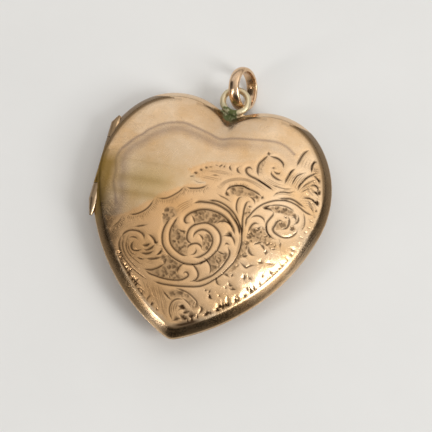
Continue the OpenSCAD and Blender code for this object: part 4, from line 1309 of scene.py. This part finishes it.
pressed, shaped = node(ring, "ShaderNodeCombineXYZ"), node(ring, "GeometryNodeSetPosition")
feed(ring, pressed.inputs[0], maths(ring, "SUBTRACT", round_side, flat_side))
feed(ring, pressed.inputs[1], across)
feed(ring, shaped.inputs["Geometry"], disc.outputs[0])
feed(ring, shaped.inputs["Position"], pressed.outputs[0])
swept(ring, given, hoop.outputs[0], shaped.outputs[0])

bail_gold = gold("bail_rose_gold", BAIL_GOLD, BAIL_WARM, 0.18)
bail = grown("swinging_bail", bpy.data.meshes.new("bail_blank"), ring, bail_gold,
             Radius=BAIL_R, Width=BAIL_W, Thickness=BAIL_T, Edge=BAIL_EDGE_T)
turn, lean = math.radians(BAIL_TURN), math.radians(90 - BAIL_LEAN)
leaning = Matrix.Rotation(turn, 4, "Z") @ Matrix.Rotation(lean, 4, "Y")
bail.data.transform(Matrix.Translation(Vector((0, EYE_Y, 0)) + Vector(BAIL_AT)) @ leaning)
placed(bail, sharp=50)
dressed(bail, bail_gold, "bail", "bail")


# The locket lies on a plain pale table, under the soft light of a small studio. A round card hangs overhead,
# brighter towards the back and right. A row of tall cards stands behind, a small bright one hangs high at the
# right, and two small ones stand low at both sides.
TABLE_HALF, TABLE_ROUGH = 1, 0.85
TABLE_PALE, TABLE_PALER = (0.82, 0.82, 0.81), (0.86, 0.86, 0.85)
ROOM_COLOUR, ROOM_LIGHT = (0.55, 0.5, 0.45), 0.08
WARM_CARD, NEAR_WHITE, WHITE, COOL = (1, 0.97, 0.92), (1, 0.98, 0.92), (1, 0.985, 0.98), (0.97, 0.99, 1)
LOW_RIGHT_WARM, LOW_LEFT_WARM = (1, 0.95, 0.90), (1, 0.97, 0.95)
LOCKET_MIDDLE = (0, 0, 0.005)
GLOW_W, GLOW_DROP = 0.22, 0.004  # the smallest disc of a set, and how far each hangs under the last
BACK_CARD_AWAY, BACK_CARD_HEIGHT, BACK_CARD_FIRST, BACK_CARD_PITCH = 0.5, 0.30, -60, 27

table_mesh = bpy.data.meshes.new("table_top")
table_mesh.from_pydata([(x * TABLE_HALF, y * TABLE_HALF, 0) for x, y in ((-1, -1), (1, -1), (1, 1), (-1, 1))],
                       [], [(0, 1, 2, 3)])
table_top = bpy.data.objects.new("table_top", table_mesh)
bpy.context.scene.collection.objects.link(table_top)
paper = bpy.data.materials.new("pale_paper")
paper.use_nodes = True
tree, shader = paper.node_tree, paper.node_tree.nodes["Principled BSDF"]
clouds = worn(tree, haze, Clouds_per_metre=30.0, Softness=0.3)
feed(tree, shader.inputs["Base Color"], mixed(tree, clouds, TABLE_PALE, TABLE_PALER))
feed(tree, shader.inputs["Roughness"], TABLE_ROUGH)
table_mesh.materials.append(paper)

world = bpy.data.worlds.new("studio")
bpy.context.scene.world = world
world.use_nodes = True
room = world.node_tree.nodes["Background"]
feed(world.node_tree, room.inputs["Color"], ROOM_COLOUR)
feed(world.node_tree, room.inputs["Strength"], ROOM_LIGHT)


def card(name, place, width, height, glow, colour, aim=LOCKET_MIDDLE, shape="RECTANGLE"):
    """A soft light that looks as bright as a white card of the given glow."""
    lamp = bpy.data.lights.new(name, "AREA")
    lamp.shape, lamp.size, lamp.size_y = shape, width, height
    lamp.energy, lamp.color = 4 * glow * width * height, colour
    obj = bpy.data.objects.new(name, lamp)
    obj.location = place
    obj.rotation_euler = (Vector(aim) - Vector(place)).to_track_quat("-Z", "Y").to_euler()
    bpy.context.scene.collection.objects.link(obj)


def overhead(name, x, y, z, width, height, glow, colour):
    card(name, (x, y, z), width, height, glow, colour, (x, y, 0), "ELLIPSE")


overhead("overhead", 0, 0, 0.42, 0.92, 0.92, 0.28, WARM_CARD)
for k in range(5):
    wide = GLOW_W + 0.11 * k
    down = GLOW_DROP * k
    overhead("overhead_glow_%d" % (k + 1), 0.10, 0.17, 0.40 - down, wide * 1.15, wide, 0.07, WARM_CARD)
for k in range(2):
    wide = GLOW_W + 0.12 * k
    overhead("right_glow_%d" % (k + 1), 0.19, 0.19, 0.376 - GLOW_DROP * k, wide, wide, 0.065, NEAR_WHITE)
for k in range(5):
    turn = math.radians(BACK_CARD_FIRST + BACK_CARD_PITCH * k)
    place = (BACK_CARD_AWAY * math.sin(turn), BACK_CARD_AWAY * math.cos(turn), BACK_CARD_HEIGHT)
    card("back_card_%d" % (k + 1), place, 0.24, 0.42, 0.56, WHITE, (0, 0, BACK_CARD_HEIGHT))
card("right_window", (0.40, -0.12, 0.335), 0.17, 0.28, 6.5, COOL)
card("low_right_card", (0.47, -0.17, 0.19), 0.22, 0.22, 0.9, LOW_RIGHT_WARM)
card("low_left_card", (-0.31, -0.27, 0.20), 0.09, 0.24, 5.0, LOW_LEFT_WARM)

CAMERA_HEIGHT_ANGLE, CAMERA_TURN, CAMERA_DISTANCE = 67.0, -14.3, 250.0
PHOTO_SIDE, PHOTO_SCALE, CLEFT_PIXEL_X, CLEFT_PIXEL_Y, SENSOR = 432, 9.512, 229.86, 121.98, 36
camera = bpy.data.cameras.new("camera")
camera_obj = bpy.data.objects.new("camera", camera)
bpy.context.scene.collection.objects.link(camera_obj)
up_angle, turn = math.radians(CAMERA_HEIGHT_ANGLE), math.radians(CAMERA_TURN)
right = Vector((math.cos(turn), -math.sin(turn), 0))
level = math.cos(up_angle)
ahead = Vector((math.sin(turn) * level, math.cos(turn) * level, -math.sin(up_angle)))
up = right.cross(ahead)
focal = PHOTO_SCALE * CAMERA_DISTANCE
aim = ahead * focal + right * (PHOTO_SIDE / 2 - CLEFT_PIXEL_X) - up * (PHOTO_SIDE / 2 - CLEFT_PIXEL_Y)
back_axis = -aim.normalized()
side_axis = up.cross(back_axis).normalized()
camera_obj.location = (Vector((0, CLEFT_Y, SEAM_Z)) - CAMERA_DISTANCE * ahead) * MM
camera_obj.rotation_euler = Matrix((side_axis, back_axis.cross(side_axis), back_axis)).transposed().to_euler()
camera.sensor_width, camera.lens = SENSOR, SENSOR * focal / PHOTO_SIDE
camera.clip_start, camera.clip_end = 0.01, 10
bpy.context.scene.camera = camera_obj
bpy.context.scene.view_settings.view_transform = "Standard"
